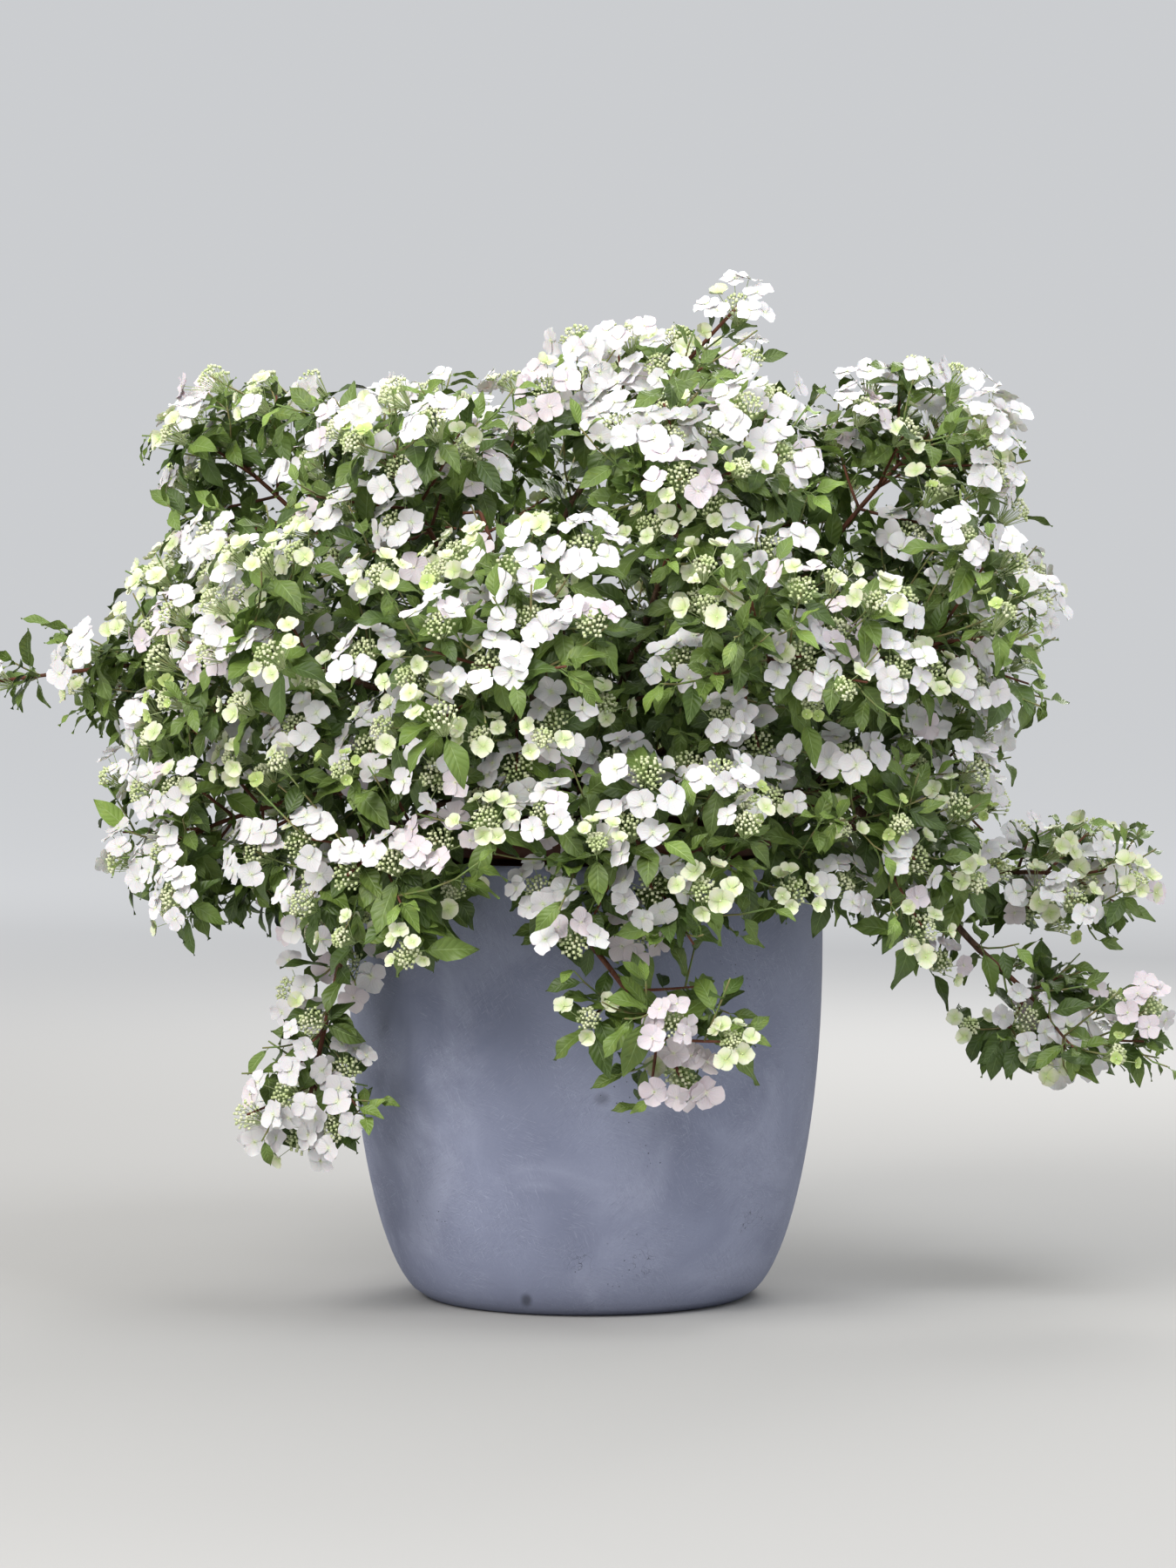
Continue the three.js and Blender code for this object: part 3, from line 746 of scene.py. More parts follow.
class Tubes:  # round limbs along curves, gathered for one joined mesh
    def __init__(self):
        self.corners = []
        self.faces = []
        self.count = 0

    def add(self, points, radii, sides):
        rings = len(points)
        along = np.gradient(points, axis=0)
        along /= np.linalg.norm(along, axis=1)[:, None]
        reference = np.eye(3)[np.argmin(np.abs(along).mean(axis=0))]
        side = np.cross(along, reference)
        side /= np.linalg.norm(side, axis=1)[:, None]
        other = np.cross(side, along)
        angles = np.linspace(0, math.tau, sides, endpoint=False)[None, :, None]
        spokes = np.cos(angles) * side[:, None] + np.sin(angles) * other[:, None]
        widths = np.broadcast_to(np.asarray(radii).reshape(rings, -1), (rings, sides))
        skin = points[:, None] + widths[..., None] * spokes
        here = np.arange(rings * sides).reshape(rings, sides)
        beside = np.roll(here, -1, axis=1)
        a, b, c, d = here[:-1], beside[:-1], beside[1:], here[1:]
        foot = np.full(sides, rings * sides)
        faces = [(a, c, b), (a, d, c), (foot, here[0], beside[0]), (foot + 1, beside[-1], here[-1])]
        triangles = np.concatenate([np.stack(corners, -1).reshape(-1, 3) for corners in faces])
        self.join(np.concatenate([skin.reshape(-1, 3), points[:1], points[-1:]]), triangles)

    def join(self, corners, triangles):
        self.corners.append(corners)
        self.faces.append(triangles + self.count)
        self.count += len(corners)

    def mesh(self, name):
        return meshFrom(name, np.concatenate(self.corners), np.concatenate(self.faces))


def meshFrom(name, corners, faces, sheet=None):  # a smooth mesh from arrays of corners and triangles
    mesh = bpy.data.meshes.new(name)
    mesh.vertices.add(len(corners))
    mesh.vertices.foreach_set("co", corners.astype(np.float32).ravel())
    mesh.loops.add(faces.size)
    mesh.loops.foreach_set("vertex_index", faces.astype(np.int32).ravel())
    mesh.polygons.add(len(faces))
    mesh.polygons.foreach_set("loop_start", np.arange(0, faces.size, 3, dtype=np.int32))
    mesh.polygons.foreach_set("use_smooth", np.ones(len(faces), dtype=bool))
    if sheet is not None:
        layer = mesh.uv_layers.new(name="blade")
        layer.data.foreach_set("uv", sheet.astype(np.float32).ravel())
    mesh.update(calc_edges=True)
    mesh.validate()
    return mesh


def template(shape):  # a small bmesh as arrays of corners, triangles and their places on the blade
    bmesh.ops.remove_doubles(shape, verts=shape.verts, dist=1e-5)
    bmesh.ops.triangulate(shape, faces=shape.faces)
    shape.verts.index_update()
    layer = shape.loops.layers.uv.active
    corners = np.array([vert.co for vert in shape.verts])
    triangles = np.array([[vert.index for vert in face.verts] for face in shape.faces])
    sheet = np.zeros((len(triangles), 3, 2))
    if layer:
        sheet = np.array([[loop[layer].uv for loop in face.loops] for face in shape.faces])
    shape.free()
    return corners, triangles, sheet


# The root crown and the boughs, with their bark
bark = {
    "ringGap": 0.009,
    "sides": 12,
    "slimmed": 0.9,  # between two knots
    "knotGap": 0.075,
    "knotWidth": 0.006,
    "knotSwell": 0.16,
    "ridges": 0.09,
    "ridgesRound": 1.7,
    "ridgesAlong": 28,
    "rootRadius": 0.046,
    "rootHeight": 0.066,
    "rootLean": 0.006,
    "rootSides": 72,
    "rootProfile": [
        # share of its radius and of its height, from its foot to its domed top
        (0, 0), (1.30, 0), (1.18, 0.06), (1.10, 0.16), (1.03, 0.3), (1.0, 0.45), (0.98, 0.6),
        (0.9, 0.74), (0.76, 0.86), (0.52, 0.95), (0.25, 0.99), (0, 1),
    ],
    "colour": (0.115, 0.058, 0.034),
    "paleColour": (0.26, 0.185, 0.125),
    "darkColour": (0.035, 0.018, 0.012),
}


def makeLimbs():
    limbs = Tubes()
    for spray in sprays:
        bough = boughs[spray.name]
        rings = max(8, round(bough.length / bark["ringGap"]))
        shares = np.linspace(0, 1, rings)
        foot = min(rule["boughFoot"], rule["boughTip"] + bough.length * rule["boughTaper"])
        radii = foot + (rule["boughTip"] - foot) * shares
        knots = np.abs((shares * bough.length / bark["knotGap"] + 0.5) % 1 - 0.5) * bark["knotGap"]
        radii = radii * (bark["slimmed"] + bark["knotSwell"] * np.exp(-((knots / bark["knotWidth"]) ** 2)))
        widths = np.empty((rings, bark["sides"]))
        for ring in range(rings):
            for side in range(bark["sides"]):
                angle = side * math.tau / bark["sides"]
                x = math.cos(angle) * bark["ridgesRound"]
                y = math.sin(angle) * bark["ridgesRound"]
                run = shares[ring] * bough.length * bark["ridgesAlong"] + spray.index * 9
                widths[ring, side] = radii[ring] * (1 + bark["ridges"] * noise.noise((x, y, run)))
        limbs.add(bough.sample(shares), widths, bark["sides"])
    corners, triangles, _ = template(rootCrown())
    limbs.join(corners, triangles)
    return limbs.mesh("woody_limbs")


def rootCrown():  # the knotted stump, which stands on the compost
    foot = compost["top"] + rule["seat"]
    outline = [(bark["rootRadius"] * x, foot + y * bark["rootHeight"]) for x, y in bark["rootProfile"]]
    shape = lathe(outline, bark["rootSides"])
    for vert in shape.verts:
        share = (vert.co.z - foot) / bark["rootHeight"]
        out = Vector((vert.co.x, vert.co.y, 0))
        side = out.normalized() if out.length > 1e-4 else out
        lumps = 0.07 * noise.noise(side * 2.4 + up * share * 2)
        lumps += 0.05 * noise.noise(side * 9 + up * share * 3)
        vert.co += out * (lumps - 0.03)
        vert.co.x += bark["rootLean"] * share
    return shape


def barkFinish(name, colours, depth):
    finish = Finish(name, 0.3)
    place = finish.place()
    flakes = finish.clouds(finish.place((1, 1, 0.35)), 160, 5, 0.65, 0.8)
    patches = finish.clouds(place, 22, 3, 0.55)
    pores = finish.cells(place, 420).step(0.35, 0.12)
    shade = finish.mix(flakes.step(0.5, 0.72), colours["colour"], colours["paleColour"])
    shade = finish.mix(patches.step(0.55, 0.3, 0, 0.8), shade, colours["darkColour"])
    shade = finish.mix(pores * 0.35, shade, colours["paleColour"])
    return finish.dress(shade, 0.62 + flakes * 0.25, flakes + pores * 0.3, depth)


limbs = pieceOf(makeLimbs(), "woody_limbs", barkFinish("peeling_bark", bark, 0.002))
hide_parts("root_crown", *["bough_" + spray.name for spray in sprays])
print("root crown and boughs made")


class Copies:  # turned and sized copies of a few small shapes, gathered for one joined mesh
    def __init__(self, templates):
        self.templates = templates
        self.frames = [[] for _ in templates]

    def add(self, which, origin, across, along, top):
        self.frames[which % len(self.templates)].append((*across, *along, *top, *origin))

    def mesh(self, name):
        corners, faces, sheets = [], [], []
        count = 0
        for (shape, triangles, sheet), frames in zip(self.templates, self.frames):
            if not frames:
                continue
            rows = np.array(frames)
            turned = np.einsum("nk,ckj->cnj", shape, rows[:, :9].reshape(-1, 3, 3)) + rows[:, None, 9:]
            starts = count + np.arange(len(rows)) * len(shape)
            corners.append(turned.reshape(-1, 3))
            faces.append((triangles[None] + starts[:, None, None]).reshape(-1, 3))
            sheets.append(np.tile(sheet.reshape(-1, 2), (len(rows), 1)))
            count += len(rows) * len(shape)
        return meshFrom(name, np.concatenate(corners), np.concatenate(faces), np.concatenate(sheets))


def bladeGrid(columns, rows):  # a grid from -1 to 1 across and 0 to 1 along, with its places kept as UVs
    shape = bmesh.new()
    bmesh.ops.create_grid(shape, x_segments=columns, y_segments=rows, size=0.5)
    layer = shape.loops.layers.uv.new("blade")
    for vert in shape.verts:
        vert.co = Vector((vert.co.x * 2, vert.co.y + 0.5, 0))
        for loop in vert.link_loops:
            loop[layer].uv = (vert.co.x / 2 + 0.5, vert.co.y)
    return shape


laidAlong = Matrix.Rotation(-math.pi / 2, 4, "X")  # turns an upright cone to lie along Y

# Leaves, one unit long from the petiole's foot to the tip
leaf = {
    "width": 0.385,
    "petiole": 0.11,
    "petioleRadius": 0.014,
    "stations": 8,
    "teeth": 0.05,
    "length": (0.046, 0.069),
    "newLength": (0.028, 0.046),
    "rosette": 4,
    "droop": 0.16,  # how far a leaf leans down
    "forms": [
        # droop in radians, fold of the halves, wave of the edges, and sideways lean
        (0.35, 0.28, 0.03, 0.03),
        (0.65, 0.20, 0.05, -0.04),
        (0.15, 0.34, 0.04, 0.0),
        (0.50, 0.12, 0.07, 0.05),
        (0.90, 0.26, 0.04, -0.02),
    ],
    "newLight": 0.5,  # the share of new leaves that is light, where the rest is mid
    "shadedBelow": -0.03,  # how far back from the light a leaf sits deep inside, where it takes the dark tint as painted shade
    "shadedDark": 0.85,  # the share of those that is dark, as painted shade, where the rest is mid
    "oldLight": 0.03,  # the share of the others that is light, and that is light or mid
    "oldMid": 0.62,
    "looks": {
        # colour, vein colour and roughness of each tint
        # the dark tint is partly painted shade, dealt to leaves deep inside, and partly a darker tone at
        # random
        "dark": ((0.076, 0.132, 0.022), (0.16, 0.24, 0.075), 0.40),
        "mid": ((0.144, 0.225, 0.039), (0.24, 0.34, 0.11), 0.42),
        "light": ((0.235, 0.36, 0.068), (0.37, 0.49, 0.17), 0.42),
        "dry": ((0.14, 0.068, 0.035), (0.24, 0.14, 0.08), 0.7),
    },
}


def leafTemplate(droop, fold, wave, lean):
    shape = bladeGrid(2, leaf["stations"])
    blade = 1 - leaf["petiole"]
    for vert in shape.verts:
        across, share = vert.co.x, vert.co.y
        half = leaf["width"] / 2 * max(math.sin(math.pi * share**0.86), 0) ** 1.05
        if round(share * leaf["stations"]) % 2:
            half *= 1 + leaf["teeth"]
        lift = fold * abs(across) * half + wave * abs(across) * math.sin(9 * share + 2 * across)
        bend = droop * share
        run = leaf["petiole"] + blade * math.sin(bend) / droop
        fall = blade * (1 - math.cos(bend)) / droop
        side = across * half + lean * share**2
        vert.co = Vector((side, run + lift * math.sin(bend), lift * math.cos(bend) - fall))
    stalk = bmesh.ops.create_cone(
        shape,
        segments=3,
        radius1=leaf["petioleRadius"],
        radius2=leaf["petioleRadius"] * 0.8,
        depth=leaf["petiole"] * 1.3,
        matrix=Matrix.Translation((0, leaf["petiole"] * 0.62, -0.01)) @ laidAlong,
    )
    layer = shape.loops.layers.uv.active
    for vert in stalk["verts"]:
        for loop in vert.link_loops:
            loop[layer].uv = (0.5, 0.5)
    return template(shape)


def leafFinish(name, colour, veinColour, gloss):
    finish = Finish(name, 0.5)
    across = abs(finish.along("blade", "X") * 2 - 1)
    along = finish.along("blade", "Y")
    midrib = across.step(0.08, 0.015)
    ribs = abs((along * 7 - across * 1.5) % 1 - 0.5)
    veins = midrib * 0.8 + ribs.step(0.1, 0.02) * across.step(1.0, 0.7) * 0.28
    place = finish.place()
    drift = finish.clouds(place, 7, 2)
    fleck = finish.clouds(place, 90, 3, 0.6)
    deep = [c * 0.62 for c in colour]
    warm = (colour[0] * 1.45, colour[1] * 1.2, colour[2] * 0.9)
    shade = finish.mix(drift.step(0.35, 0.65), deep, colour)
    shade = finish.mix(fleck.step(0.5, 0.75, 0, 0.4), shade, warm)
    shade = finish.mix(veins, shade, veinColour)
    surface = fleck * 0.2 + ribs.step(0.0, 0.5) * 0.7 - midrib * 0.6
    return finish.dress(shade, gloss + fleck * 0.16, surface, 0.0009, 0.6)


leafTemplates = [leafTemplate(*form) for form in leaf["forms"]]
leafFinishes = {tint: leafFinish("leaf_" + tint, *look) for tint, look in leaf["looks"].items()}
leafCopies = {tint: Copies(leafTemplates) for tint in leafFinishes}

# Florets, one unit from the middle to a sepal's edge
floret = {
    "sepals": 4,
    "columns": 3,
    "rows": 3,
    "halfWidth": 0.53,
    "youngHalfWidth": 0.55,
    "endRound": 0.16,
    "fray": 0.06,
    "overlap": 0.06,
    "beadRadius": 0.0014,
    "forms": [
        # cup, ruffle and the twist of the ruffle
        (0.10, 0.07, 0.0),
        (0.2, 0.05, 1.3),
        (0.02, 0.1, 2.6),
        (0.15, 0.085, 4.1),
        (-0.12, 0.09, 5.3),
    ],
    "youngForms": [(0.50, 0.05, 0.4), (0.66, 0.04, 2.2), (0.34, 0.08, 3.9), (0.24, 0.06, 5.1)],
    "sizes": {
        "white": (0.0175, 0.0226),
        "blush": (0.0175, 0.0226),
        "ivory": (0.0120, 0.0172),
        "lime": (0.0085, 0.0125),
    },
    "looks": {
        # colour, colour of the middle and how far that spreads
        "white": ((0.79, 0.775, 0.775), (0.76, 0.82, 0.55), 0.28),
        "blush": ((0.78, 0.705, 0.73), (0.84, 0.80, 0.68), 0.22),
        "ivory": ((0.79, 0.81, 0.60), (0.56, 0.70, 0.24), 0.75),
        "lime": ((0.60, 0.71, 0.28), (0.40, 0.56, 0.13), 0.9),
    },
}


def floretTemplate(halfWidth, cup, ruffle, twist):
    rng = random.Random(int(twist * 10) + 3)
    shape = bmesh.new()
    shape.loops.layers.uv.new("blade")
    for sepal in range(floret["sepals"]):
        blade = bladeGrid(floret["columns"], floret["rows"])
        size = rng.uniform(0.86, 1.0)
        tilt = rng.uniform(-0.12, 0.14)
        for vert in blade.verts:
            across, share = vert.co.x, vert.co.y
            edge = 1 + rng.uniform(-1, 1) * floret["fray"] * max(abs(across), share)
            half = halfWidth * math.sin(math.pi * (0.06 + 0.72 * share)) * edge
            run = share * (1 - floret["endRound"] * across**2 * share**3) * edge
            lift = cup * (share**1.6 - 0.35 * share**4) + tilt * share
            lift += ruffle * share**2 * math.sin(2.6 * across + twist + sepal * 2.1)
            lift += 0.05 * across**2 * share + floret["overlap"] * (sepal % 2)
            narrow = 1 - max(0, cup) * 0.35 * share
            vert.co = Vector((across * half, run * narrow, lift)) * size
        turn = math.tau * sepal / floret["sepals"] + rng.uniform(-0.14, 0.14)
        bmesh.ops.rotate(blade, verts=blade.verts, cent=(0, 0, 0), matrix=Matrix.Rotation(turn, 3, "Z"))
        scrap = bpy.data.meshes.new("sepal")
        blade.to_mesh(scrap)
        blade.free()
        shape.from_mesh(scrap)
        bpy.data.meshes.remove(scrap)
    return template(shape)


def sepalFinish(name, colour, middleColour, spread):
    finish = Finish(name, 0.3)
    finish.plug(finish.shader, {"Subsurface Weight": 0.12, "Subsurface Scale": 0.004})
    across = finish.along("blade", "X")
    along = finish.along("blade", "Y")
    middle = along.step(spread, 0.02)
    veins = abs((across * 6) % 1 - 0.5).step(0.16, 0.03) * along.step(0.95, 0.4)
    # painted shade along the sepals' edges near the middle, where they overlap
    edgeShade = abs(across * 2 - 1).step(0.72, 1.0) * along.step(0.85, 0.3)
    drift = finish.clouds(finish.place(), 24, 2)
    shadeColour = [c * f for c, f in zip(colour, (0.95, 0.925, 0.955))]
    edgeShadeColour = [c * f for c, f in zip(colour, (0.72, 0.70, 0.74))]
    shade = finish.mix(drift.step(0.35, 0.7), colour, shadeColour)
    shade = finish.mix(middle * 0.85, shade, middleColour)
    shade = finish.mix(veins * 0.10, shade, middleColour)
    shade = finish.mix(edgeShade * 0.30, shade, edgeShadeColour)
    return finish.dress(shade, 0.55 + drift * 0.1, veins, 0.0005, 0.5)


matureFlorets = [floretTemplate(floret["halfWidth"], *form) for form in floret["forms"]]
youngFlorets = [floretTemplate(floret["youngHalfWidth"], *form) for form in floret["youngForms"]]
floretFinishes = {tint: sepalFinish("sepal_" + tint, *look) for tint, look in floret["looks"].items()}
floretCopies = {
    tint: Copies(youngFlorets if tint in ("ivory", "lime") else matureFlorets) for tint in floretFinishes
}


def budTemplate():
    shape = bmesh.new()
    bmesh.ops.create_uvsphere(shape, u_segments=4, v_segments=2, radius=1)
    return template(shape)


def stalkTemplate():  # one unit long, from its foot at the origin
    shape = bmesh.new()
    place = Matrix.Translation((0, 0.5, 0)) @ laidAlong
    bmesh.ops.create_cone(shape, segments=3, radius1=1, radius2=0.8, depth=1, matrix=place)
    return template(shape)


def softGreen(name, colour, otherColour):
    finish = Finish(name, 0.35)
    drift = finish.clouds(finish.place(), 60, 2)
    shade = finish.mix(drift.step(0.38, 0.62), colour, otherColour)
    return finish.dress(shade, 0.5 + drift * 0.1, finish.clouds(finish.place(), 900, 2), 0.0004, 0.5)


budCopies = Copies([budTemplate()])
stalkCopies = Copies([stalkTemplate()])
brownTwigs = Tubes()
greenTwigs = Tubes()
print("leaf and floret shapes made")

# How the finer twigs grow, and what they bear
finer = {
    "knots": (0.36, 0.62, 0.86),  # along a shoot
    "turn": 78,
    "opening": (42, 64),
    "length": (0.058, 0.098),
    "lift": 0.32,
    "tries": (1, 0.75, 0.5),
    "outside": -0.03,  # how far back from the light a twig still bears a head
    "leafKnots": (0.18, 0.40),  # along a twig
    "lastLeaves": ((0.66, 0.85), (0.6, 0.8)),  # knot and size of the last pair, without and with a head
    "shootLeafKnots": (0.3, 0.55, 0.8),
    "boughGap": (0.046, 0.042),  # between the pairs of twigs along a bough, and an open spray's
    "boughScale": (1.45, 0.9),  # and the size of those twigs
    "boughLeafGap": 0.022,  # between the pairs of leaves that sit on the bough itself
    "stemKnots": (0.62, 0.86),
    "longKnots": (0.3, 0.5, 0.68, 0.86),
    "openKnots": (0.14, 0.36, 0.62, 0.86),
    "boughBare": 0.26,  # the share of a bough that bears none
    "stemRadii": (0.0034, 0.0022),
    "shootRadii": (0.0022, 0.0014),
    "twigRadii": (0.0014, 0.0010),
    "margin": 0.004,  # that the end of a twig keeps inside its spray's space
    "cutTo": 0.82,  # the share that is left of a shoot whose bare end would stand before a head
    "barkDepth": 0.0008,
    "colour": (0.16, 0.055, 0.032),
    "paleColour": (0.23, 0.12, 0.07),
    "darkColour": (0.06, 0.03, 0.018),
    "greens": ((0.17, 0.26, 0.07), (0.23, 0.20, 0.08)),
}
head = {
    "gap": 0.064,  # between the middles of two heads
    "youngGap": 0.8,  # the shares of the gap, the dome and the ring that a young head has
    "youngDome": 0.74,
    "youngRing": 0.78,
    "size": (0.88, 1.10),
    "openSize": 0.95,
    "margins": (0.012, 0.008),  # that its middle and its rim keep inside the spray's space
    "clear": 0.048,  # around a head, where no leaf stands in front
    "ahead": 0.004,
    "florets": (5, 8),
    "youngFlorets": (3, 6),
    "ring": 0.033,
    "domeRadius": 0.0190,
    "domeHeight": 0.010,
    "hubDepth": 0.026,
    "buds": (34, 44),
    "budTurn": 2.39996,  # the golden angle, which spreads the buds evenly
    "budRadius": (0.0020, 0.0029),
    "bareBelow": 0.45,  # the share of the dome whose stalks don't show
    "stalkRadius": 0.00045,
    "floretStalkRadius": 0.0006,
    "neckRadius": 0.0011,
    "fewest": 4,  # of six spots on its rim, how many have to be free for a head to grow
    "oneTint": 0.8,  # the share of a head's florets that has the head's own tint
    "limeShare": 0.32,  # of the young heads
    "ivoryAbove": 0.91,  # the share of the others that isn't ivory, and how much less that is on the right
    "ivoryOnRight": 0.12,
    "budGreens": ((0.60, 0.69, 0.34), (0.82, 0.84, 0.58)),
    "stalkGreens": ((0.42, 0.53, 0.22), (0.55, 0.62, 0.33)),
}
formDraws = 60  # a copy's form is drawn as a number below this, and counted round through its kind's forms
heads = []  # the middle, the facing and the size of each head
twigs = []  # the shoots and finer twigs, whether each has a head, and whether it is a shoot
leaves = []  # the leaves, which wait until every head has its place


def clearOfPot(spot, margin):
    out = math.hypot(spot.x, spot.y)
    if spot.z > pot["top"] + margin:
        return True
    if spot.z > planter["height"] + margin:
        return out > pot["rimRadius"] + margin
    return out > planterOutside(min(spot.z, planter["height"])) + margin


def boxed(spray, place, margin):  # in the box round a spray, whose upper and lower outer edges are round
    run = spray.axes @ (place - spray.middle)
    if (run < spray.least + margin).any() or (run > spray.most - margin).any():
        return False
    out = max(run[0], 0) / spray.most[0]
    rise = run[2] / (spray.most[2] if run[2] > 0 else spray.least[2])
    return out ** reach["edgeRound"] + rise ** reach["edgeRound"] < 1


def inReach(spot, spray, margin):  # in the spray's space, the crown's heart or by an open spray's bough
    place = np.array(spot)
    if not clearOfPot(spot, reach["potGap"] + margin) or spot.z < spray.own["floor"] + margin:
        return False
    if (place < cadLow + margin).any() or (place > cadHigh - margin).any():
        return False
    if spot.z > spray.own["ceiling"] - margin and (spot - spray.tip).length > reach["aroundTip"]:
        return False
    low, high = reach["heartHeights"]
    if low < spot.z < high and math.hypot(spot.x, spot.y) < reach["heartRadius"]:
        return True
    if (spot - spray.middle).dot(spray.along) < spray.boxedTo and boxed(spray, place, margin):
        return True
    if spray.slim and nearest(spray.corners, place) < spray.fromSolid - margin:
        return True
    if not spray.open:
        return False
    if nearest(spray.stem.points, place) < spray.own["alongStem"] - margin:
        return True
    return nearest(boughs[spray.name].points, place) < reach["alongBough"] - margin


def nearest(points, place):
    return np.linalg.norm(points - place, axis=1).min()


def aside(direction, rng, amount):  # a direction, knocked aside a little
    return (direction + Vector([rng.gauss(0, amount) for _ in range(3)])).normalized()


def between(first, second, angle):  # turned from a first direction to a second, at right angles to it
    return first * math.cos(angle) + second * math.sin(angle)


def acrossOf(along, light):  # the two directions across a limb: level with the light, and towards it
    side = along.cross(light).normalized()
    return side, side.cross(along)


def spread(facing):  # two directions in the plane of a head
    across = facing.orthogonal().normalized()
    return across, facing.cross(across)


def growLeaf(spray, rng, root, heading, top, length, kind, twig=None):
    heading = (heading - up * leaf["droop"]).normalized()
    across = heading.cross(top).normalized()
    top = across.cross(heading)
    tip = root + heading * length - top * length * 0.2
    middle = root + heading * length * 0.55
    wing = across * length * leaf["width"] * 0.5
    if all(inReach(spot, spray, 0) for spot in (tip, middle + wing, middle - wing)):
        tint = pickTint(rng, kind, (root - spray.middle).dot(spray.light))
        form = rng.randrange(formDraws)
        leaves.append((twig, tint, form, root, across * length, heading * length, top * length))


def pickTint(rng, kind, depth):  # new leaves are light, and those deep inside are dark as painted shade
    chance = rng.random()
    if kind == "new":
        return "light" if chance < leaf["newLight"] else "mid"
    if depth < leaf["shadedBelow"]:
        return "dark" if chance < leaf["shadedDark"] else "mid"
    if chance < leaf["oldLight"]:
        return "light"
    return "mid" if chance < leaf["oldMid"] else "dark"


def leafPair(spray, rng, curve, share, length, kind, roll=0.0, twig=None):
    if rng.random() > spray.own["leafShare"]:
        return
    along = curve.tangent(share)
    side = between(*acrossOf(along, spray.leafLight), roll)
    for sign in (1, -1):
        heading = along * 0.5 + side * sign * 0.86 + spray.leafLight * rng.uniform(-0.1, 0.35)
        heading = aside(heading, rng, 0.12)
        top = aside(spray.leafLight * 0.8 + up * 0.3, rng, 0.22)
        size = length * rng.uniform(0.85, 1.12)
        growLeaf(spray, rng, curve.point(share), heading, top, size, kind, twig)


def leafPairs(spray, rng, limb, knots, roll):  # grown leaves, whose pairs turn either way by up to the roll
    for share in knots:
        leafPair(spray, rng, limb, share, rng.uniform(*leaf["length"]), "old", rng.uniform(-roll, roll))


def leafTuft(spray, rng, curve, length, twig=None):  # the young leaves at a twig's end
    along = curve.tangent(1)
    side, _ = acrossOf(along, spray.leafLight)
    for sign in (1, -1):
        heading = aside(along * 0.9 + side * sign * 0.55 + up * leaf["droop"], rng, 0.15)
        size = rng.uniform(*leaf["newLength"])
        growLeaf(spray, rng, curve.point(1), heading, aside(spray.leafLight, rng, 0.3), size, "new", twig)
    leafPair(spray, rng, curve, 0.9, length, "new", math.radians(80), twig)


def rosette(spray, rng, curve, facing, length):  # the leaves that spread under a head
    across, other = spread(facing)
    start = rng.uniform(0, math.tau)
    root = curve.point(1) - facing * head["hubDepth"]
    for index in range(leaf["rosette"]):
        angle = start + math.tau * index / leaf["rosette"] + rng.uniform(-0.3, 0.3)
        heading = aside(between(across, other, angle) - facing * 0.22, rng, 0.1)
        top = aside(facing * 0.9 + up * 0.3, rng, 0.15)
        growLeaf(spray, rng, root, heading, top, length * rng.uniform(0.9, 1.15), "old")


def dryLeaves(spray, rng):  # withered leaves that still hang on a bough
    for _ in range(spray.own["dry"]):
        root = boughs[spray.name].point(rng.uniform(0.25, 0.75))
        heading = aside(up * -1, rng, 0.4)
        across = heading.cross(aside(front, rng, 0.5)).normalized()
        length = rng.uniform(*leaf["newLength"])
        top = across.cross(heading) * length * 1.4
        form = rng.randrange(formDraws)
        leafCopies["dry"].add(form, root, across * length * 0.55, heading * length, top)


def addStalk(foot, tip, radius):
    along = tip - foot
    across = along.orthogonal().normalized()
    other = along.normalized().cross(across)
    stalkCopies.add(0, foot, across * radius, along, other * radius)


def headTint(spray, rng, young):
    chance = rng.random()
    if young:
        return "lime" if chance < head["limeShare"] else "ivory"
    if chance < spray.own["blush"]:
        return "blush"
    return "ivory" if chance > head["ivoryAbove"] - head["ivoryOnRight"] * spray.greenness else "white"


def growDome(rng, centre, hub, facing, size):  # the small fertile buds in the middle of a head
    across, other = spread(facing)
    count = rng.randint(*head["buds"])
    for bud in range(count):
        share = math.sqrt((bud + 0.5) / count)
        angle = bud * head["budTurn"] + rng.uniform(-0.2, 0.2)
        out = between(across, other, angle) * head["domeRadius"] * size * share
        rise = facing * (head["domeHeight"] * size * (1 - share**2) + rng.uniform(-0.002, 0.002))
        spot = centre + out + rise
        radius = rng.uniform(*head["budRadius"])
        budCopies.add(0, spot, across * radius, other * radius, facing * radius * 1.1)
        if share > head["bareBelow"]:
            addStalk(hub + out * 0.25, spot, head["stalkRadius"])


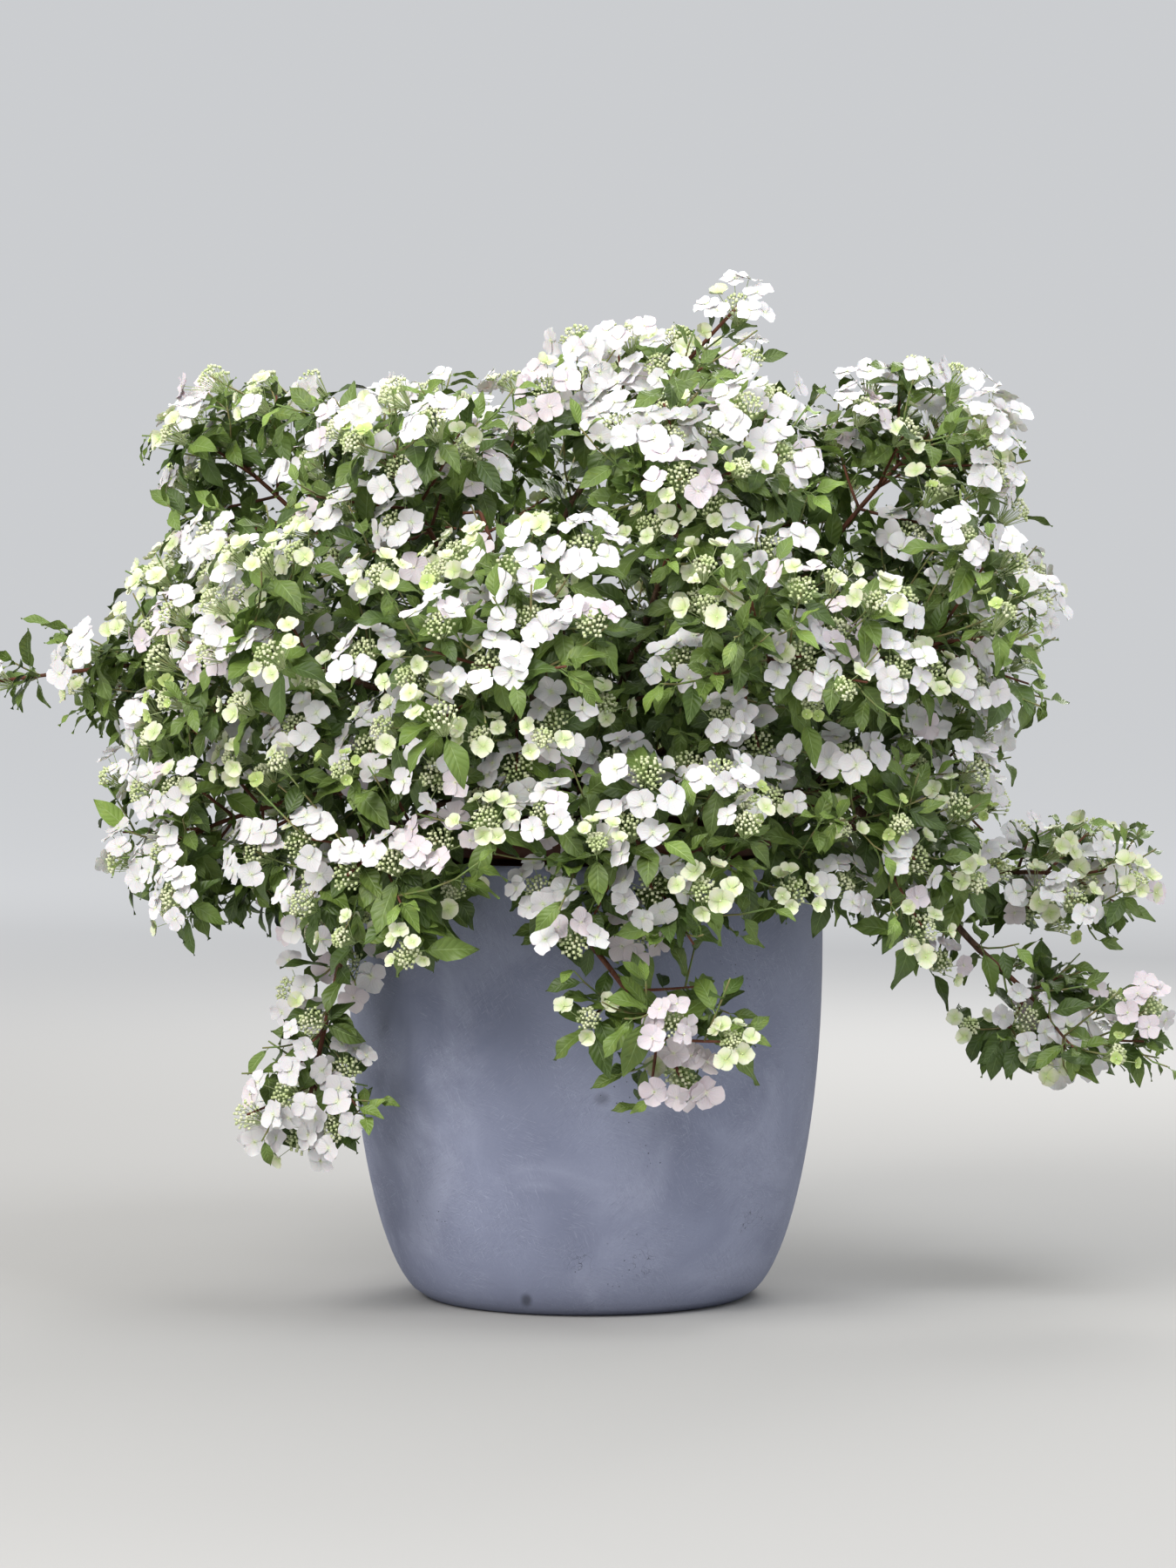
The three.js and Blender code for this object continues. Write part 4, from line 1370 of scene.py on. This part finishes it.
def growHead(spray, rng, centre, facing, size, young):
    hub = centre - facing * head["hubDepth"] * size
    growDome(rng, centre, hub, facing, size * (head["youngDome"] if young else 1))
    across, other = spread(facing)
    florets = rng.randint(*head["youngFlorets" if young else "florets"])
    start = rng.uniform(0, math.tau)
    tint = headTint(spray, rng, young)
    for index in range(florets):
        angle = start + math.tau * index / florets + rng.uniform(-0.38, 0.38)
        out = between(across, other, angle)
        own = tint if rng.random() < head["oneTint"] else headTint(spray, rng, young)
        span = rng.uniform(*floret["sizes"][own]) * size
        ring = head["ring"] * size * rng.uniform(0.66, 1.16) * (head["youngRing"] if young else 1)
        spot = centre + out * ring + facing * rng.uniform(0.001, 0.014)
        if not inReach(spot, spray, span * (0.35 if spray.slim else 0.85)):
            continue
        normal = aside(facing * 0.78 + out * 0.46 + sunward * 0.22, rng, 0.24)
        turned = between(*spread(normal), angle * 3)
        cross = normal.cross(turned)
        floretCopies[own].add(rng.randrange(formDraws), spot, turned * span, cross * span, normal * span)
        bead = floret["beadRadius"]
        budCopies.add(0, spot + normal * span * 0.06, turned * bead, cross * bead, normal * bead)
        addStalk(hub, spot - normal * 0.001, head["floretStalkRadius"])
    addStalk(hub - facing * 0.004, hub + facing * 0.006, head["neckRadius"])


def tryHead(spray, rng, curve, facing, size, young):  # a head at a twig's end, where there is room for it
    centre = curve.point(1)
    margin, rimMargin = head["margins"]
    gap = head["gap"] * (head["youngGap"] if young else 1) * spray.crowding
    crowded = any((centre - other).length < gap for other, _, _ in heads)
    if crowded or not inReach(centre, spray, margin):
        return False
    across = facing.orthogonal().normalized() * head["ring"] * size
    rim = [centre + Matrix.Rotation(math.tau * i / 6, 3, facing) @ across for i in range(6)]
    if sum(inReach(spot, spray, rimMargin) for spot in rim) < head["fewest"]:
        return False
    heads.append((centre, facing, size))
    growHead(spray, rng, centre, facing, size, young)
    return True


def shootsOf(spray):  # opposite pairs along the stem, by the solids' own rule
    following = seeded(spray.index + 1)
    whole = rule["entry"] + spray.outward
    start = 360 * following()
    for pair in range(rule["shootPairs"]):
        share = (rule["entry"] + rule["shootKnots"][pair]) / whole
        knot = spray.stem.point(share)
        along = spray.stem.tangent(share)
        side, other = acrossOf(along, up)
        roll = math.radians(start + rule["shootTurn"] * pair + 16 * (following() - 0.5))
        for sign in (1, -1):
            opening = math.radians(rule["shootOpenings"][pair] + 10 * (following() - 0.5))
            length = rule["shootLength"] * (0.9 + 0.2 * following()) * spray.scale
            heading = between(along, between(side, other, roll) * sign, opening)
            end = knot + heading * length + spray.light * rule["lift"] * length
            lifted = knot + heading * length * 0.5 - spray.light * length * 0.03
            yield Curve(knot, lifted, end), (pair + (sign > 0)) % 2 == 1


def finerTwigs(spray, rng, limb, knots, scale):  # opposite pairs of twigs that bend up to the light
    start = rng.uniform(0, 360)
    for pair, share in enumerate(knots):
        knot = limb.point(share)
        along = limb.tangent(share)
        side, other = acrossOf(along, spray.light)
        roll = math.radians(start + finer["turn"] * pair)
        for sign in (1, -1):
            opening = math.radians(rng.uniform(*finer["opening"]))
            heading = between(along, between(side, other, roll) * sign, opening)
            length = rng.uniform(*finer["length"]) * scale
            if rng.random() > spray.own["twigShare"]:
                continue
            for part in finer["tries"]:
                run = length * part
                end = knot + heading * run + spray.light * finer["lift"] * run
                if inReach(end, spray, finer["margin"]):
                    yield Curve(knot, knot + heading * run * 0.55, end)
                    break


def cutToReach(spray, curve):  # a shoot, cut back to where its spray still reaches
    for part in finer["tries"]:
        if inReach(curve.point(part), spray, finer["margin"]):
            return Curve(*curve.sample([0, part / 2, part]))
    return None


def facingOf(spray, rng, curve):
    return aside(curve.tangent(1) * 0.35 + spray.face, rng, 0.15)


def addTwig(tubes, curve, radii, sides, rings, last=1.0):
    shares = np.linspace(0, last, rings)
    tubes.add(curve.sample(shares), radii[0] + (radii[1] - radii[0]) * shares, sides)


def growTwig(spray, rng, curve):  # a finer twig, its leaves, and a head or a tuft at its end
    length = rng.uniform(*leaf["length"])
    outside = spray.open or (curve.point(1) - spray.middle).dot(spray.light) > finer["outside"]
    young = rng.random() < spray.young
    size = rng.uniform(*head["size"]) * (head["openSize"] if spray.open else 1)
    facing = facingOf(spray, rng, curve)
    wanted = outside and rng.random() < spray.bloom
    headed = wanted and tryHead(spray, rng, curve, facing, size, young)
    index = len(twigs)
    twigs.append((curve, headed, False))
    low, high = finer["leafKnots"]
    last, lastSize = finer["lastLeaves"][headed]
    leafPair(spray, rng, curve, low, length, "old", rng.uniform(0.9, 2.2), index)
    leafPair(spray, rng, curve, high, length, "old", rng.uniform(-0.5, 0.5), index)
    if headed:
        rosette(spray, rng, curve, facing, length)
    leafPair(spray, rng, curve, last, length * lastSize, "old", rng.uniform(0.9, 2.2), index)
    if not headed:
        leafTuft(spray, rng, curve, length * 0.7, index)


def growTwigs(spray, rng, limb, knots, scale):
    for twig in finerTwigs(spray, rng, limb, knots, scale):
        growTwig(spray, rng, twig)


def growShoot(spray, rng, shoot, flowers):
    facing = facingOf(spray, rng, shoot)
    length = rng.uniform(*leaf["length"])
    headed = flowers and tryHead(spray, rng, shoot, facing, 1.0, spray.own["youngShoots"])
    index = len(twigs)
    twigs.append((shoot, headed, True))
    if headed:
        rosette(spray, rng, shoot, facing, length)
    else:
        leafTuft(spray, rng, shoot, length, index)
    leafPairs(spray, rng, shoot, finer["shootLeafKnots"], 0.7)
    growTwigs(spray, rng, shoot, finer["knots"], spray.own.get("wide", spray.scale))


def knotsAlong(bough, gap):  # past its bare foot
    bare = finer["boughBare"]
    count = int(bough.length * (1 - bare) / gap)
    return [bare + (1 - bare) * (i + 0.5) / count for i in range(count)]


def growSpray(spray):
    rng = random.Random(spray.index * 101 + 7)
    addTwig(brownTwigs, spray.stem, finer["stemRadii"], 7, 14)
    tipFacing = (spray.face + spray.stem.tangent(1) * 0.6).normalized()
    tryHead(spray, rng, spray.stem, tipFacing, spray.own["tipHead"], False)
    stemKnots = finer["openKnots" if spray.open else "longKnots" if spray.slim else "stemKnots"]
    leafPairs(spray, rng, spray.stem, stemKnots, 1)
    twigKnots = stemKnots if spray.open else spray.own.get("twigKnots", stemKnots[-2:])
    growTwigs(spray, rng, spray.stem, twigKnots, spray.own["tipTwigs"])
    for whole, flowers in shootsOf(spray):
        shoot = cutToReach(spray, whole)
        if shoot is not None:
            growShoot(spray, rng, shoot, flowers)
    bough = boughs[spray.name]
    twigKnots = knotsAlong(bough, finer["boughGap"][spray.open])
    growTwigs(spray, rng, bough, twigKnots, finer["boughScale"][spray.open])
    leafPairs(spray, rng, bough, knotsAlong(bough, finer["boughLeafGap"]), 2)
    dryLeaves(spray, rng)


def inFront(spots):  # whether each spot stands close before one of the heads
    centres = np.array([centre for centre, _, _ in heads])
    facings = np.array([facing for _, facing, _ in heads])
    clear = head["clear"] * np.array([max(size, 1) for _, _, size in heads])
    gaps = np.array(spots)[:, None] - centres
    ahead = (gaps * facings).sum(axis=2) > head["ahead"]
    near = (gaps**2).sum(axis=2) < clear**2
    return (ahead & near).any(axis=1)


def placeTwigsAndLeaves():  # all but those that would stand before a head
    hidden = inFront([curve.point(1) for curve, _, _ in twigs])
    dropped = {index for index, (_, headed, _) in enumerate(twigs) if hidden[index] and not headed}
    for index, (curve, _, woody) in enumerate(twigs):
        if woody:
            addTwig(brownTwigs, curve, finer["shootRadii"], 5, 7, finer["cutTo"] if index in dropped else 1)
        elif index not in dropped:
            addTwig(greenTwigs, curve, finer["twigRadii"], 4, 4)
    hidden = inFront([root + along * 0.45 for _, _, _, root, _, along, _ in leaves])
    hidden |= inFront([root + along * 0.9 for _, _, _, root, _, along, _ in leaves])
    for (twig, tint, form, root, across, along, top), away in zip(leaves, hidden):
        if not away and twig not in dropped:
            leafCopies[tint].add(form, root, across, along, top)


def joined(gathered, name, finish):
    return pieceOf(gathered.mesh(name), name, finish)


for spray in sprays:
    growSpray(spray)
placeTwigsAndLeaves()
print("sprays grown:", len(heads), "heads,", len(leaves), "leaves at most")

brown = joined(brownTwigs, "brown_twigs", barkFinish("twig_bark", finer, finer["barkDepth"]))
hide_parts(*["foliage_" + spray.name for spray in sprays])
joined(greenTwigs, "green_twigs", softGreen("young_stem", *finer["greens"]))
for tint, copies in leafCopies.items():
    joined(copies, "leaves_" + tint, leafFinishes[tint])
for tint, copies in floretCopies.items():
    joined(copies, "florets_" + tint, floretFinishes[tint])
joined(budCopies, "buds", softGreen("bud_green", *head["budGreens"]))
joined(stalkCopies, "flower_stalks", softGreen("flower_stalk", *head["stalkGreens"]))
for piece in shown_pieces():
    print(piece.name, len(piece.data.polygons))
